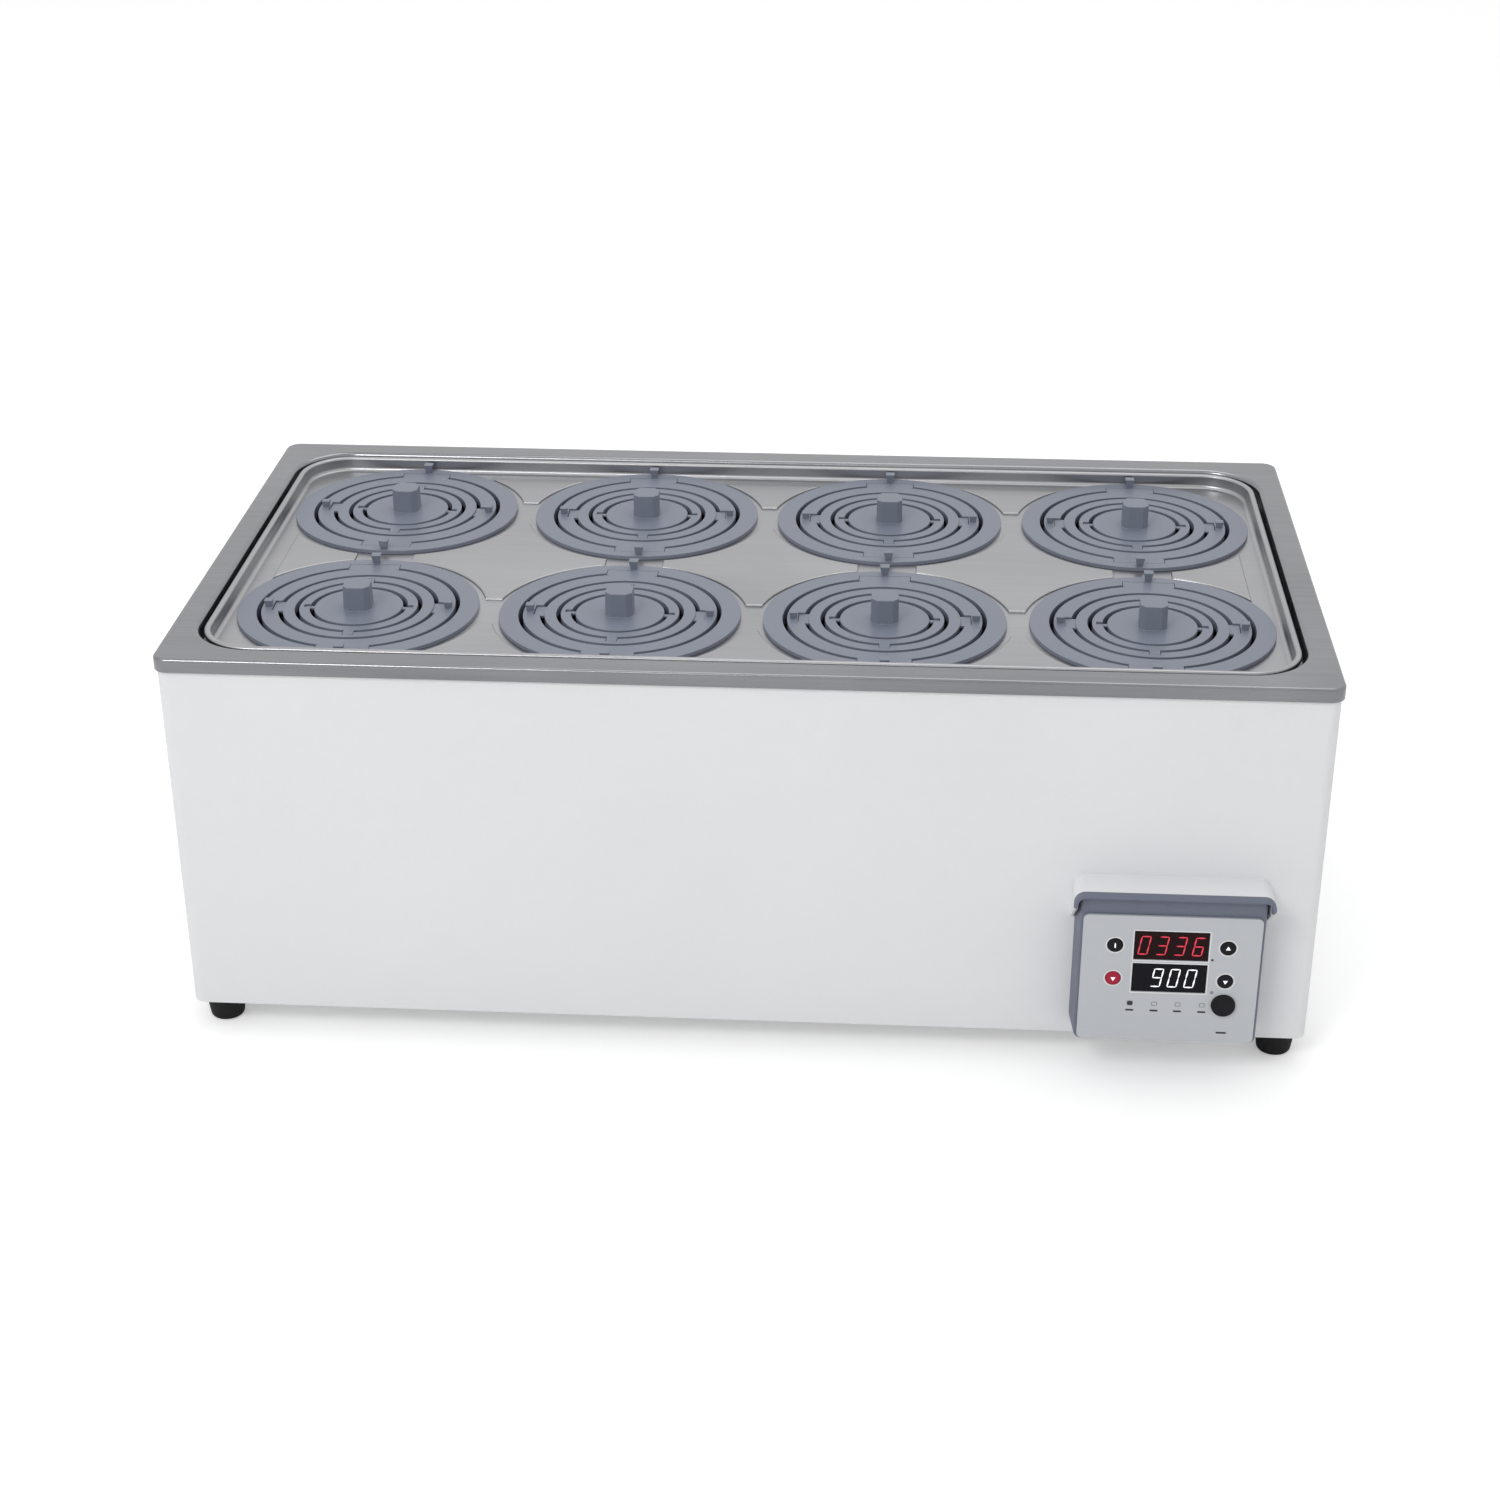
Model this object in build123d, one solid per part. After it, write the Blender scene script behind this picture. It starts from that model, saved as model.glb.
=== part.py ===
from build123d import *
import os

# Thermostatic bath with eight covered holes, in millimetres.
# X runs along the front, Y to the back, Z up. The feet stand on Z = 0.

# Rim of the pressed tank
RIM_LENGTH = 606.0
RIM_DEPTH = 320.0
RIM_CORNER = 8.0
RIM_EDGE = 1.5
SKIRT_HEIGHT = 7.5
TANK_SHEET = 1.2
BODY_HEIGHT = 207.5

# Mouth, ledge and well of the tank
RIM_BORDER_X = 14.5
RIM_BORDER_Y = 16.0
MOUTH_CORNER = 32.0
MOUTH_EDGE = 2.5
LEDGE_DROP = 10.0
LEDGE_WIDTH = 10.0
FLOOR_SPACE = 57.5
WELL_FLOOR_RADIUS = 10.0

# Case, base and feet
CASE_SHEET = 1.2
SKIRT_GAP = 0.3
BASE_SHEET = 1.2
BASE_EDGE_HEIGHT = 12.0
BASE_GAP = 0.3
VENT_COUNT = 4
VENT_LENGTH = 40.0
VENT_WIDTH = 4.0
VENT_PITCH = 14.0
VENT_X = -150.0
FOOT_HEIGHT = 15.0
FOOT_TOP_DIAMETER = 22.0
FOOT_BOTTOM_DIAMETER = 18.0
FOOT_EDGE = 2.0
FOOT_INSET = 16.0
FOOT_NECK_DIAMETER = 7.6
FOOT_HOLE_DIAMETER = 8.0
FOOT_BULB_DIAMETER = 10.0
FOOT_BULB_HEIGHT = 3.0
FOOT_NECK_GAP = 0.2

# Insulation between tank and case
INSULATION_GAP = 0.3
INSULATION_FLOOR = 11.0
INSULATION_TOP_GAP = 1.5

# Tray-shaped lid plate
LID_SHEET = 1.0
LID_GAP = 2.5
LID_DROP = 0.8
LID_BEAD_WIDTH = 3.5
LID_BEAD_HEIGHT = 3.0
LID_BEAD_ROUND = 1.4
HOLE_COLUMNS = 4
HOLE_ROWS = 2
HOLE_FIELD_INSET_X = 2.0
HOLE_FIELD_INSET_Y = -1.5

# Raised panels pressed in the lid plate between the covers
PANEL_RISE = 1.2
PANEL_MARGIN = 3.5
PANEL_TIP_GAP = 16.0
PANEL_WALL_MARGIN = 13.0

# Nested ring covers: bore of each ring as a share of the cover, from the outermost inwards
COVER_SPACING = 12.0
SEAT_WIDTH = 5.0
RING_SHARES = (0.8385, 0.6615, 0.527, 0.404)
RING_SLOT = 2.4
RING_HEIGHT = 5.0
FLANGE_HEIGHT = 2.2
SPIGOT_HEIGHT = 7.0
SPIGOT_CLEARANCE = 0.5
# Ears that hang each inner piece on the ring around it: width and drop below the top
EAR_WIDTHS = (28.0, 12.0, 5.5, 3.0)
EAR_DROPS = (0.0, 0.8, 0.0, 0.8)
EAR_HEIGHT = 1.2
EAR_REACH = 3.0
EAR_CLEARANCE = 0.3
CAP_HEIGHT = 3.0
KNOB_WIDTH = 15.0
KNOB_HEIGHT = 13.5
KNOB_CHAMFER = 3.0
KNOB_DRAFT = 1.0
PIP_WIDTH = 3.2
PIP_FLARE = 12.0
PIP_HEIGHTS = (5.0, 3.5)
PIP_OFFSET = 1.1
# Each cover is set down turned by a few degrees
COVER_TURNS = (2.0, -1.0, 1.0, -2.0, -2.0, 1.5, 0.5, -1.0)

# Heater, shelf and probe in the well
HEATER_DIAMETER = 10.0
HEATER_SPAN = 110.0
HEATER_RISE = 20.0
HEATER_END_MARGIN = 45.0
HEATER_BEND = 22.0
HEATER_TAIL = 14.0
HEATER_COLLAR_DIAMETER = 18.0
HEATER_COLLAR_HEIGHT = 3.0
HEATER_CLEARANCE = 0.1
TERMINAL_ROOM = 6.0
SHELF_MARGIN_X = 18.5
SHELF_MARGIN_Y = 14.0
SHELF_CORNER = 18.0
SHELF_SHEET = 1.2
SHELF_RISE = 30.0
SHELF_LEG_MARGIN_X = 50.0
SHELF_LEG_MARGIN_Y = 25.0
SHELF_HOLE_DIAMETER = 16.0
SHELF_HOLE_COLUMNS = 5
SHELF_HOLE_ROWS = 2
PROBE_DIAMETER = 6.0
PROBE_LENGTH = 60.0
PROBE_RISE = 52.0
PROBE_COLLAR_DIAMETER = 14.0
PROBE_COLLAR_HEIGHT = 4.0

# Control box on the front, placed by the middle of its fascia
CONTROL_MARGIN = 79.0
CONTROL_RISE = 47.5
FASCIA_LENGTH = 92.0
FASCIA_HEIGHT = 75.5
FASCIA_CORNER = 3.0
FASCIA_SHEET = 1.6
FASCIA_REACH = 21.0
HOUSING_BORDER = 1.4
HOUSING_TOP_BORDER = 10.5
HOUSING_CORNER = 4.0
HOUSING_DRAFT = 5.0
HOUSING_WALL = 2.2
HOUSING_FRONT_WALL = 2.0
HOUSING_WINDOW_MARGIN = 4.0
HOOD_LENGTH = 103.0
HOOD_REACH = 24.0
HOOD_WALL = 2.3
HOOD_CORNER = 6.0
HOOD_FRONT_DROP = 7.0
HOOD_BACK_DROP = 26.0
WIRE_HOLE_DIAMETER = 16.0

# Displays, board and buttons of the control box
DISPLAY_LENGTH = 38.5
DISPLAY_HEIGHT = 17.2
DISPLAY_UPPER_Z = 20.2
DISPLAY_LOWER_Z = 0.8
DISPLAY_RECESS = 0.3
DISPLAY_GAP = 0.15
BOARD_DEPTH_BEHIND_FASCIA = 7.0
BOARD_THICKNESS = 1.6
BOARD_GAP = 0.3
BUTTON_X = 29.0
BUTTON_UPPER_Z = 20.0
BUTTON_LOWER_Z = 0.0
BUTTON_DIAMETER = 8.2
POWER_Z = -14.5
POWER_DIAMETER = 12.6
BUTTON_CLEARANCE = 0.15
BUTTON_PROUD = 0.6
POWER_PROUD = 1.8
BUTTON_FLANGE_WIDTH = 1.0
BUTTON_FLANGE_HEIGHT = 0.8
BUTTON_FLANGE_GAP = 0.1
BUTTON_TRAVEL = 0.6
POWER_TRAVEL = 1.5
SWITCH_WIDTH = 6.0
SWITCH_GAP = 0.4

# Mains inlet on the back
INLET_MARGIN = 79.0
INLET_RISE = 22.5
INLET_FLANGE_LENGTH = 48.0
INLET_FLANGE_HEIGHT = 23.0
INLET_FLANGE_THICKNESS = 1.4
INLET_BODY_LENGTH = 28.0
INLET_BODY_HEIGHT = 20.0
INLET_BODY_DEPTH = 22.0
INLET_CORNER = 3.0
INLET_GAP = 0.2
INLET_SOCKET_LENGTH = 24.0
INLET_SOCKET_HEIGHT = 16.5
INLET_SOCKET_DEPTH = 18.0
INLET_PIN_LENGTH = 12.0
INLET_PIN_WIDTH = 2.0
INLET_PIN_HEIGHT = 4.0
INLET_PIN_PITCH = 7.0
INLET_EARTH_RISE = 4.0

# Worked out from the sizes above
CASE_FLOOR = FOOT_HEIGHT
RIM_TOP = CASE_FLOOR + BODY_HEIGHT
LEDGE_TOP = RIM_TOP - LEDGE_DROP
MOUTH_LENGTH = RIM_LENGTH - 2 * RIM_BORDER_X
MOUTH_DEPTH = RIM_DEPTH - 2 * RIM_BORDER_Y
WELL_FLOOR = CASE_FLOOR + FLOOR_SPACE
WELL_LENGTH = MOUTH_LENGTH - 2 * LEDGE_WIDTH
WELL_DEPTH = MOUTH_DEPTH - 2 * LEDGE_WIDTH
WELL_CORNER = MOUTH_CORNER - LEDGE_WIDTH
CASE_INSET = TANK_SHEET + SKIRT_GAP
CASE_LENGTH = RIM_LENGTH - 2 * CASE_INSET
CASE_DEPTH = RIM_DEPTH - 2 * CASE_INSET
CASE_CORNER = RIM_CORNER - CASE_INSET
CASE_FRONT = CASE_DEPTH / 2
LID_TOP = LEDGE_TOP + LID_SHEET
LID_LENGTH = MOUTH_LENGTH - 2 * LID_GAP
LID_DEPTH = MOUTH_DEPTH - 2 * LID_GAP
LID_CORNER = MOUTH_CORNER - LID_GAP
LID_LIP_TOP = RIM_TOP - LID_DROP
HOLE_PITCH_X = (LID_LENGTH - 2 * HOLE_FIELD_INSET_X) / HOLE_COLUMNS
HOLE_PITCH_Y = (LID_DEPTH - 2 * HOLE_FIELD_INSET_Y) / HOLE_ROWS
COVER_DIAMETER = min(HOLE_PITCH_X, HOLE_PITCH_Y) - COVER_SPACING
HOLE_DIAMETER = COVER_DIAMETER - 2 * SEAT_WIDTH
PANEL_REACH = min(HOLE_PITCH_X, HOLE_PITCH_Y) / 2 - PANEL_TIP_GAP
RING_BORES = [share * COVER_DIAMETER for share in RING_SHARES]
COVER_TOP = LID_TOP + FLANGE_HEIGHT
CONTROL_X = RIM_LENGTH / 2 - CONTROL_MARGIN
CONTROL_Z = CASE_FLOOR + CONTROL_RISE
FASCIA_BACK = FASCIA_REACH - FASCIA_SHEET
BOARD_FRONT = FASCIA_REACH - BOARD_DEPTH_BEHIND_FASCIA
BUTTON_BACK = FASCIA_BACK - BUTTON_FLANGE_GAP - BUTTON_FLANGE_HEIGHT
SHELF_TOP = WELL_FLOOR + SHELF_RISE
SHELF_LENGTH = WELL_LENGTH - 2 * SHELF_MARGIN_X
SHELF_DEPTH = WELL_DEPTH - 2 * SHELF_MARGIN_Y
HEATER_Z = WELL_FLOOR + HEATER_RISE
PROBE_Z = WELL_FLOOR + PROBE_RISE
INLET_X = RIM_LENGTH / 2 - INLET_MARGIN
INLET_Z = CASE_FLOOR + INLET_RISE

# The origin is under the middle of the whole bath, hood included
ORIGIN_SHIFT = (CASE_FRONT + HOOD_REACH - RIM_DEPTH / 2) / 2


def save(shape, node):
    """Writes one sub-part in the bath's own frame."""
    export_step(Pos(0, ORIGIN_SHIFT, 0) * shape, f"parts/{node}.step")


def block(length, depth, height, corner, floor):
    """Upright block with rounded corners, centred on the case."""
    return Pos(0, 0, floor) * extrude(RectangleRounded(length, depth, corner), height)


def front_plane(reach):
    """Plane on the front, this far out from the case, centred on the fascia."""
    return Plane.XZ.offset(CASE_FRONT + reach) * Pos(CONTROL_X, CONTROL_Z)


def front_block(outline, reach, depth):
    """Solid behind the fascia's middle: an outline at this reach, running back by depth."""
    return extrude(front_plane(reach) * outline, -depth)


def end_rod(diameter, height, rise, start, length):
    """Rod along X at a height above zero, running to the right from start."""
    return Plane.YZ.offset(start) * Pos(height, rise) * extrude(Circle(diameter / 2), length)


def heater_offsets():
    """Distances from the middle of the well to the heater's two legs."""
    return (-HEATER_SPAN / 2, HEATER_SPAN / 2)


def well_block(grow, radius):
    """The well of the tank as a solid, grown by this much all round, its floor edge rounded."""
    floor = WELL_FLOOR - grow
    length = WELL_LENGTH + 2 * grow
    depth = WELL_DEPTH + 2 * grow
    solid = block(length, depth, LEDGE_TOP - floor, WELL_CORNER + grow, floor)
    if radius:
        solid = fillet(solid.edges().group_by(Axis.Z)[0], radius)
    return solid


def make_tank():
    rim = block(RIM_LENGTH, RIM_DEPTH, SKIRT_HEIGHT, RIM_CORNER, RIM_TOP - SKIRT_HEIGHT)
    rim = fillet(rim.edges().group_by(Axis.Z)[-1], RIM_EDGE)
    rim -= block(
        RIM_LENGTH - 2 * TANK_SHEET,
        RIM_DEPTH - 2 * TANK_SHEET,
        SKIRT_HEIGHT - TANK_SHEET,
        RIM_CORNER - TANK_SHEET,
        RIM_TOP - SKIRT_HEIGHT,
    )
    mouth = block(
        MOUTH_LENGTH + 2 * TANK_SHEET,
        MOUTH_DEPTH + 2 * TANK_SHEET,
        LEDGE_DROP + TANK_SHEET,
        MOUTH_CORNER + TANK_SHEET,
        LEDGE_TOP - TANK_SHEET,
    )
    tank = rim + mouth + well_block(TANK_SHEET, WELL_FLOOR_RADIUS + TANK_SHEET)
    tank -= block(MOUTH_LENGTH, MOUTH_DEPTH, LEDGE_DROP, MOUTH_CORNER, LEDGE_TOP)
    tank -= well_block(0, WELL_FLOOR_RADIUS)
    wall = WELL_LENGTH / 2
    play = 2 * HEATER_CLEARANCE
    for offset in heater_offsets():
        tank -= end_rod(HEATER_DIAMETER + play, offset, HEATER_Z, wall, TANK_SHEET)
    tank -= end_rod(PROBE_DIAMETER + play, 0, PROBE_Z, wall, TANK_SHEET)
    top = tank.faces().filter_by(Plane.XY).sort_by(Axis.Z)[-1]
    return fillet(top.inner_wires()[0].edges(), MOUTH_EDGE)


def make_case_shell():
    height = BODY_HEIGHT - TANK_SHEET
    shell = block(CASE_LENGTH, CASE_DEPTH, height, CASE_CORNER, CASE_FLOOR)
    shell -= block(
        CASE_LENGTH - 2 * CASE_SHEET,
        CASE_DEPTH - 2 * CASE_SHEET,
        height,
        CASE_CORNER - CASE_SHEET,
        CASE_FLOOR,
    )
    shell -= front_block(Circle(WIRE_HOLE_DIAMETER / 2), 0, CASE_SHEET)
    opening = Rectangle(INLET_BODY_LENGTH + 2 * INLET_GAP, INLET_BODY_HEIGHT + 2 * INLET_GAP)
    return shell - back_block(opening, 0, CASE_SHEET)


def back_block(outline, reach, depth):
    """Solid at the mains inlet: an outline this far out from the back, running inwards by depth."""
    plane = Plane.XZ.offset(-CASE_DEPTH / 2 - reach) * Pos(INLET_X, INLET_Z)
    return extrude(plane * outline, depth)


def foot_places():
    """Middles of the four feet."""
    return GridLocations(RIM_LENGTH - 2 * FOOT_INSET, RIM_DEPTH - 2 * FOOT_INSET, 2, 2)


def make_base_plate():
    length = CASE_LENGTH - 2 * (CASE_SHEET + BASE_GAP)
    depth = CASE_DEPTH - 2 * (CASE_SHEET + BASE_GAP)
    corner = CASE_CORNER - CASE_SHEET - BASE_GAP
    base = block(length, depth, BASE_EDGE_HEIGHT, corner, CASE_FLOOR)
    base -= block(
        length - 2 * BASE_SHEET,
        depth - 2 * BASE_SHEET,
        BASE_EDGE_HEIGHT,
        corner - BASE_SHEET,
        CASE_FLOOR + BASE_SHEET,
    )
    holes = foot_places() * Circle(FOOT_HOLE_DIAMETER / 2)
    slot = SlotOverall(VENT_LENGTH, VENT_WIDTH)
    vents = [Pos(VENT_X, 0) * place * slot for place in GridLocations(0, VENT_PITCH, 1, VENT_COUNT)]
    return base - Pos(0, 0, CASE_FLOOR) * extrude(Sketch() + holes + vents, BASE_SHEET)


def make_feet():
    """Push-in rubber feet: a tapered pad, a neck through the base and a bulb that holds it."""
    pad = Cone(
        FOOT_BOTTOM_DIAMETER / 2,
        FOOT_TOP_DIAMETER / 2,
        FOOT_HEIGHT,
        align=(Align.CENTER, Align.CENTER, Align.MIN),
    )
    pad = chamfer(pad.edges().sort_by(Axis.Z)[0], FOOT_EDGE)
    neck = extrude(Circle(FOOT_NECK_DIAMETER / 2), BASE_SHEET + FOOT_NECK_GAP)
    bulb = Cone(
        FOOT_BULB_DIAMETER / 2,
        FOOT_NECK_DIAMETER / 2,
        FOOT_BULB_HEIGHT,
        align=(Align.CENTER, Align.CENTER, Align.MIN),
    )
    bulb_floor = FOOT_HEIGHT + BASE_SHEET + FOOT_NECK_GAP
    foot = pad + Pos(0, 0, FOOT_HEIGHT) * neck + Pos(0, 0, bulb_floor) * bulb
    return Compound([place * foot for place in foot_places()])


def make_insulation():
    """Mineral wool between the tank and the case."""
    grow = TANK_SHEET + INSULATION_GAP
    floor = WELL_FLOOR - grow - INSULATION_FLOOR
    top = LEDGE_TOP - TANK_SHEET - INSULATION_TOP_GAP
    trim = 2 * (CASE_SHEET + INSULATION_GAP)
    corner = CASE_CORNER - CASE_SHEET - INSULATION_GAP
    wool = block(CASE_LENGTH - trim, CASE_DEPTH - trim, top - floor, corner, floor)
    wool -= well_block(grow, 0)
    start = WELL_LENGTH / 2
    reach = CASE_LENGTH / 2 - start
    for offset in heater_offsets():
        wool -= end_rod(HEATER_COLLAR_DIAMETER + TERMINAL_ROOM, offset, HEATER_Z, start, reach)
    return wool - end_rod(PROBE_COLLAR_DIAMETER + TERMINAL_ROOM, 0, PROBE_Z, start, reach)


def make_heater():
    """Tubular heater: a hairpin on the floor of the well, its ends through the right wall."""
    right = WELL_LENGTH / 2 + TANK_SHEET + HEATER_TAIL
    left = -WELL_LENGTH / 2 + HEATER_END_MARGIN
    near, far = heater_offsets()
    corners = [(right, near), (left, near), (left, far), (right, far)]
    path = Pos(0, 0, HEATER_Z) * FilletPolyline(*corners, radius=HEATER_BEND)
    section = Plane((right, near, HEATER_Z), z_dir=(-1, 0, 0)) * Circle(HEATER_DIAMETER / 2)
    heater = sweep(section, path=path)
    collar = WELL_LENGTH / 2 - HEATER_COLLAR_HEIGHT
    for offset in (near, far):
        heater += end_rod(HEATER_COLLAR_DIAMETER, offset, HEATER_Z, collar, HEATER_COLLAR_HEIGHT)
    return heater


def make_shelf_plate():
    """Perforated false floor that keeps flasks off the heater."""
    plate = block(SHELF_LENGTH, SHELF_DEPTH, SHELF_SHEET, SHELF_CORNER, SHELF_TOP - SHELF_SHEET)
    pitch_x = SHELF_LENGTH / SHELF_HOLE_COLUMNS
    pitch_y = SHELF_DEPTH / SHELF_HOLE_ROWS
    holes = GridLocations(pitch_x, pitch_y, SHELF_HOLE_COLUMNS, SHELF_HOLE_ROWS)
    cutter = Sketch() + holes * Circle(SHELF_HOLE_DIAMETER / 2)
    plate -= Pos(0, 0, SHELF_TOP - SHELF_SHEET) * extrude(cutter, SHELF_SHEET)
    leg = Box(
        SHELF_LENGTH - 2 * SHELF_LEG_MARGIN_X,
        SHELF_SHEET,
        SHELF_RISE - SHELF_SHEET,
        align=(Align.CENTER, Align.CENTER, Align.MIN),
    )
    for side in (-1, 1):
        plate += Pos(0, side * (SHELF_DEPTH / 2 - SHELF_LEG_MARGIN_Y), WELL_FLOOR) * leg
    return plate


def make_temperature_probe():
    start = WELL_LENGTH / 2 - PROBE_LENGTH
    probe = end_rod(PROBE_DIAMETER, 0, PROBE_Z, start, PROBE_LENGTH + TANK_SHEET + HEATER_TAIL / 2)
    collar = WELL_LENGTH / 2 - PROBE_COLLAR_HEIGHT
    return probe + end_rod(PROBE_COLLAR_DIAMETER, 0, PROBE_Z, collar, PROBE_COLLAR_HEIGHT)


def cover_places():
    """Middles of the holes, the front row first, from left to right."""
    places = []
    for row in range(HOLE_ROWS):
        for column in range(HOLE_COLUMNS):
            x = (column - (HOLE_COLUMNS - 1) / 2) * HOLE_PITCH_X
            y = (row - (HOLE_ROWS - 1) / 2) * HOLE_PITCH_Y
            places.append((x, y))
    return places


def raised_panels():
    """Panels with hollow sides, centred between the covers and cut off near the wall."""
    inner_length = LID_LENGTH - 2 * (LID_BEAD_WIDTH + PANEL_WALL_MARGIN)
    inner_depth = LID_DEPTH - 2 * (LID_BEAD_WIDTH + PANEL_WALL_MARGIN)
    panels = Sketch()
    for column in range(HOLE_COLUMNS + 1):
        for row in range(HOLE_ROWS + 1):
            if column in (0, HOLE_COLUMNS) and row in (0, HOLE_ROWS):
                continue
            x = (column - HOLE_COLUMNS / 2) * HOLE_PITCH_X
            y = (row - HOLE_ROWS / 2) * HOLE_PITCH_Y
            panels += Pos(x, y) * Rectangle(2 * PANEL_REACH, 2 * PANEL_REACH)
    for x, y in cover_places():
        panels -= Pos(x, y) * Circle(COVER_DIAMETER / 2 + PANEL_MARGIN)
    return panels & Rectangle(inner_length, inner_depth)


def make_lid_plate():
    """Pressed tray with a rolled edge, eight holes and raised panels between them."""
    step = LID_BEAD_WIDTH - LID_SHEET
    height = LID_LIP_TOP - LEDGE_TOP
    lid = block(LID_LENGTH - 2 * step, LID_DEPTH - 2 * step, height, LID_CORNER - step, LEDGE_TOP)
    lid += block(LID_LENGTH, LID_DEPTH, LID_BEAD_HEIGHT, LID_CORNER, LID_LIP_TOP - LID_BEAD_HEIGHT)
    lid -= block(
        LID_LENGTH - 2 * LID_BEAD_WIDTH,
        LID_DEPTH - 2 * LID_BEAD_WIDTH,
        height - LID_SHEET,
        LID_CORNER - LID_BEAD_WIDTH,
        LID_TOP,
    )
    lid = fillet(lid.edges().group_by(Axis.Z)[-1], LID_BEAD_ROUND)
    lid += Pos(0, 0, LID_TOP) * extrude(raised_panels(), PANEL_RISE)
    for x, y in cover_places():
        lid -= Pos(x, y, LEDGE_TOP) * extrude(Circle(HOLE_DIAMETER / 2), LID_SHEET)
    return lid


def ear(index, grow):
    """Two ears at opposite sides of the bore of this index, alternating between front-back and sides."""
    reach = RING_BORES[index] / 2 + EAR_REACH + grow
    width = EAR_WIDTHS[index] + 2 * grow
    bar = Box(width, 2 * reach, EAR_HEIGHT, align=(Align.CENTER, Align.CENTER, Align.MIN))
    floor = COVER_TOP - EAR_DROPS[index] - EAR_HEIGHT
    return Pos(0, 0, floor) * Rot(0, 0, 90 * (index % 2)) * bar


def ring_radius(index):
    """Outer radius of the ring with the bore of this index."""
    if index == 0:
        return COVER_DIAMETER / 2
    return RING_BORES[index - 1] / 2 - RING_SLOT


def pips(index):
    """Two small flared pips for lifting a ring, a little outside the middle of its width."""
    radius = (ring_radius(index) + RING_BORES[index] / 2) / 2 + PIP_OFFSET
    pip = extrude(Rectangle(PIP_WIDTH, PIP_WIDTH), PIP_HEIGHTS[index], taper=-PIP_FLARE)
    turn = 90 * (index % 2)
    return [Rot(0, 0, turn + half) * Pos(0, radius, COVER_TOP) * pip for half in (0, 180)]


def with_ears(piece, index):
    """Adds the ears that carry a piece in the bore of this index, outside its own edge."""
    middle = extrude(Circle(ring_radius(index + 1) - EAR_CLEARANCE), RING_HEIGHT)
    return piece + (ear(index, 0) - Pos(0, 0, COVER_TOP - RING_HEIGHT) * middle)


def make_ring(index):
    """One ring of a cover, with pockets for the ears of the next piece in."""
    bore = RING_BORES[index] / 2
    if index == 0:
        ring = Pos(0, 0, LID_TOP) * extrude(Circle(ring_radius(index)), FLANGE_HEIGHT)
        spigot = Circle(HOLE_DIAMETER / 2 - SPIGOT_CLEARANCE)
        ring += Pos(0, 0, LID_TOP - SPIGOT_HEIGHT) * extrude(spigot, SPIGOT_HEIGHT)
    else:
        ring = Pos(0, 0, COVER_TOP - RING_HEIGHT) * extrude(Circle(ring_radius(index)), RING_HEIGHT)
        ring = with_ears(ring, index - 1)
    depth = SPIGOT_HEIGHT + FLANGE_HEIGHT
    ring -= Pos(0, 0, LID_TOP - SPIGOT_HEIGHT) * extrude(Circle(bore), depth)
    pocket = ear(index, EAR_CLEARANCE)
    ring -= pocket + Pos(0, 0, EAR_DROPS[index]) * pocket
    if index < len(PIP_HEIGHTS):
        for pip in pips(index):
            ring += pip
    return ring


def make_cap():
    """Middle piece of a cover, with its lifting knob."""
    rings = len(RING_BORES)
    cap = Pos(0, 0, COVER_TOP - CAP_HEIGHT) * extrude(Circle(ring_radius(rings)), CAP_HEIGHT)
    cap = with_ears(cap, rings - 1)
    outline = Rectangle(KNOB_WIDTH, KNOB_WIDTH)
    outline = chamfer(outline.vertices(), KNOB_CHAMFER)
    return cap + Pos(0, 0, COVER_TOP) * extrude(outline, KNOB_HEIGHT, taper=KNOB_DRAFT)


def housing_middle():
    """Height of the middle of the housing's front above the middle of the fascia."""
    return (HOUSING_TOP_BORDER - HOUSING_BORDER) / 2


def make_hood():
    """Rain hood over the housing: an arch whose cheeks grow deeper towards the case."""
    top = FASCIA_HEIGHT / 2 + HOUSING_TOP_BORDER + HOOD_WALL
    depth = HOOD_BACK_DROP + HOOD_CORNER
    middle = Pos(0, top - depth / 2)
    arch = middle * RectangleRounded(HOOD_LENGTH, depth, HOOD_CORNER)
    inner_corner = HOOD_CORNER - HOOD_WALL
    arch -= middle * RectangleRounded(HOOD_LENGTH - 2 * HOOD_WALL, depth - 2 * HOOD_WALL, inner_corner)
    hood = front_block(arch, HOOD_REACH, HOOD_REACH)
    low = top - 2 * depth
    side = Polyline(
        (0, top - HOOD_BACK_DROP),
        (HOOD_REACH, top - HOOD_FRONT_DROP),
        (HOOD_REACH, low),
        (0, low),
        close=True,
    )
    cheek_cut = extrude(make_face(side), HOOD_LENGTH / 2, both=True)
    side_plane = Plane((CONTROL_X, -CASE_FRONT, CONTROL_Z), x_dir=(0, -1, 0), z_dir=(-1, 0, 0))
    return hood - side_plane * cheek_cut


def make_control_housing():
    length = FASCIA_LENGTH + 2 * HOUSING_BORDER
    height = FASCIA_HEIGHT + HOUSING_BORDER + HOUSING_TOP_BORDER
    middle = Pos(0, housing_middle())
    outline = middle * RectangleRounded(length, height, HOUSING_CORNER)
    housing = extrude(front_plane(FASCIA_BACK) * outline, -FASCIA_BACK, taper=-HOUSING_DRAFT)
    walls = 2 * HOUSING_WALL
    room = RectangleRounded(length - walls, height - walls, HOUSING_CORNER - HOUSING_WALL)
    room = middle * room
    room_reach = FASCIA_BACK - HOUSING_FRONT_WALL
    housing -= extrude(front_plane(room_reach) * room, -room_reach, taper=-HOUSING_DRAFT)
    margin = 2 * HOUSING_WINDOW_MARGIN
    window = Rectangle(FASCIA_LENGTH - margin, FASCIA_HEIGHT - margin)
    housing -= front_block(window, FASCIA_BACK, HOUSING_FRONT_WALL)
    return housing + make_hood()


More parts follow.
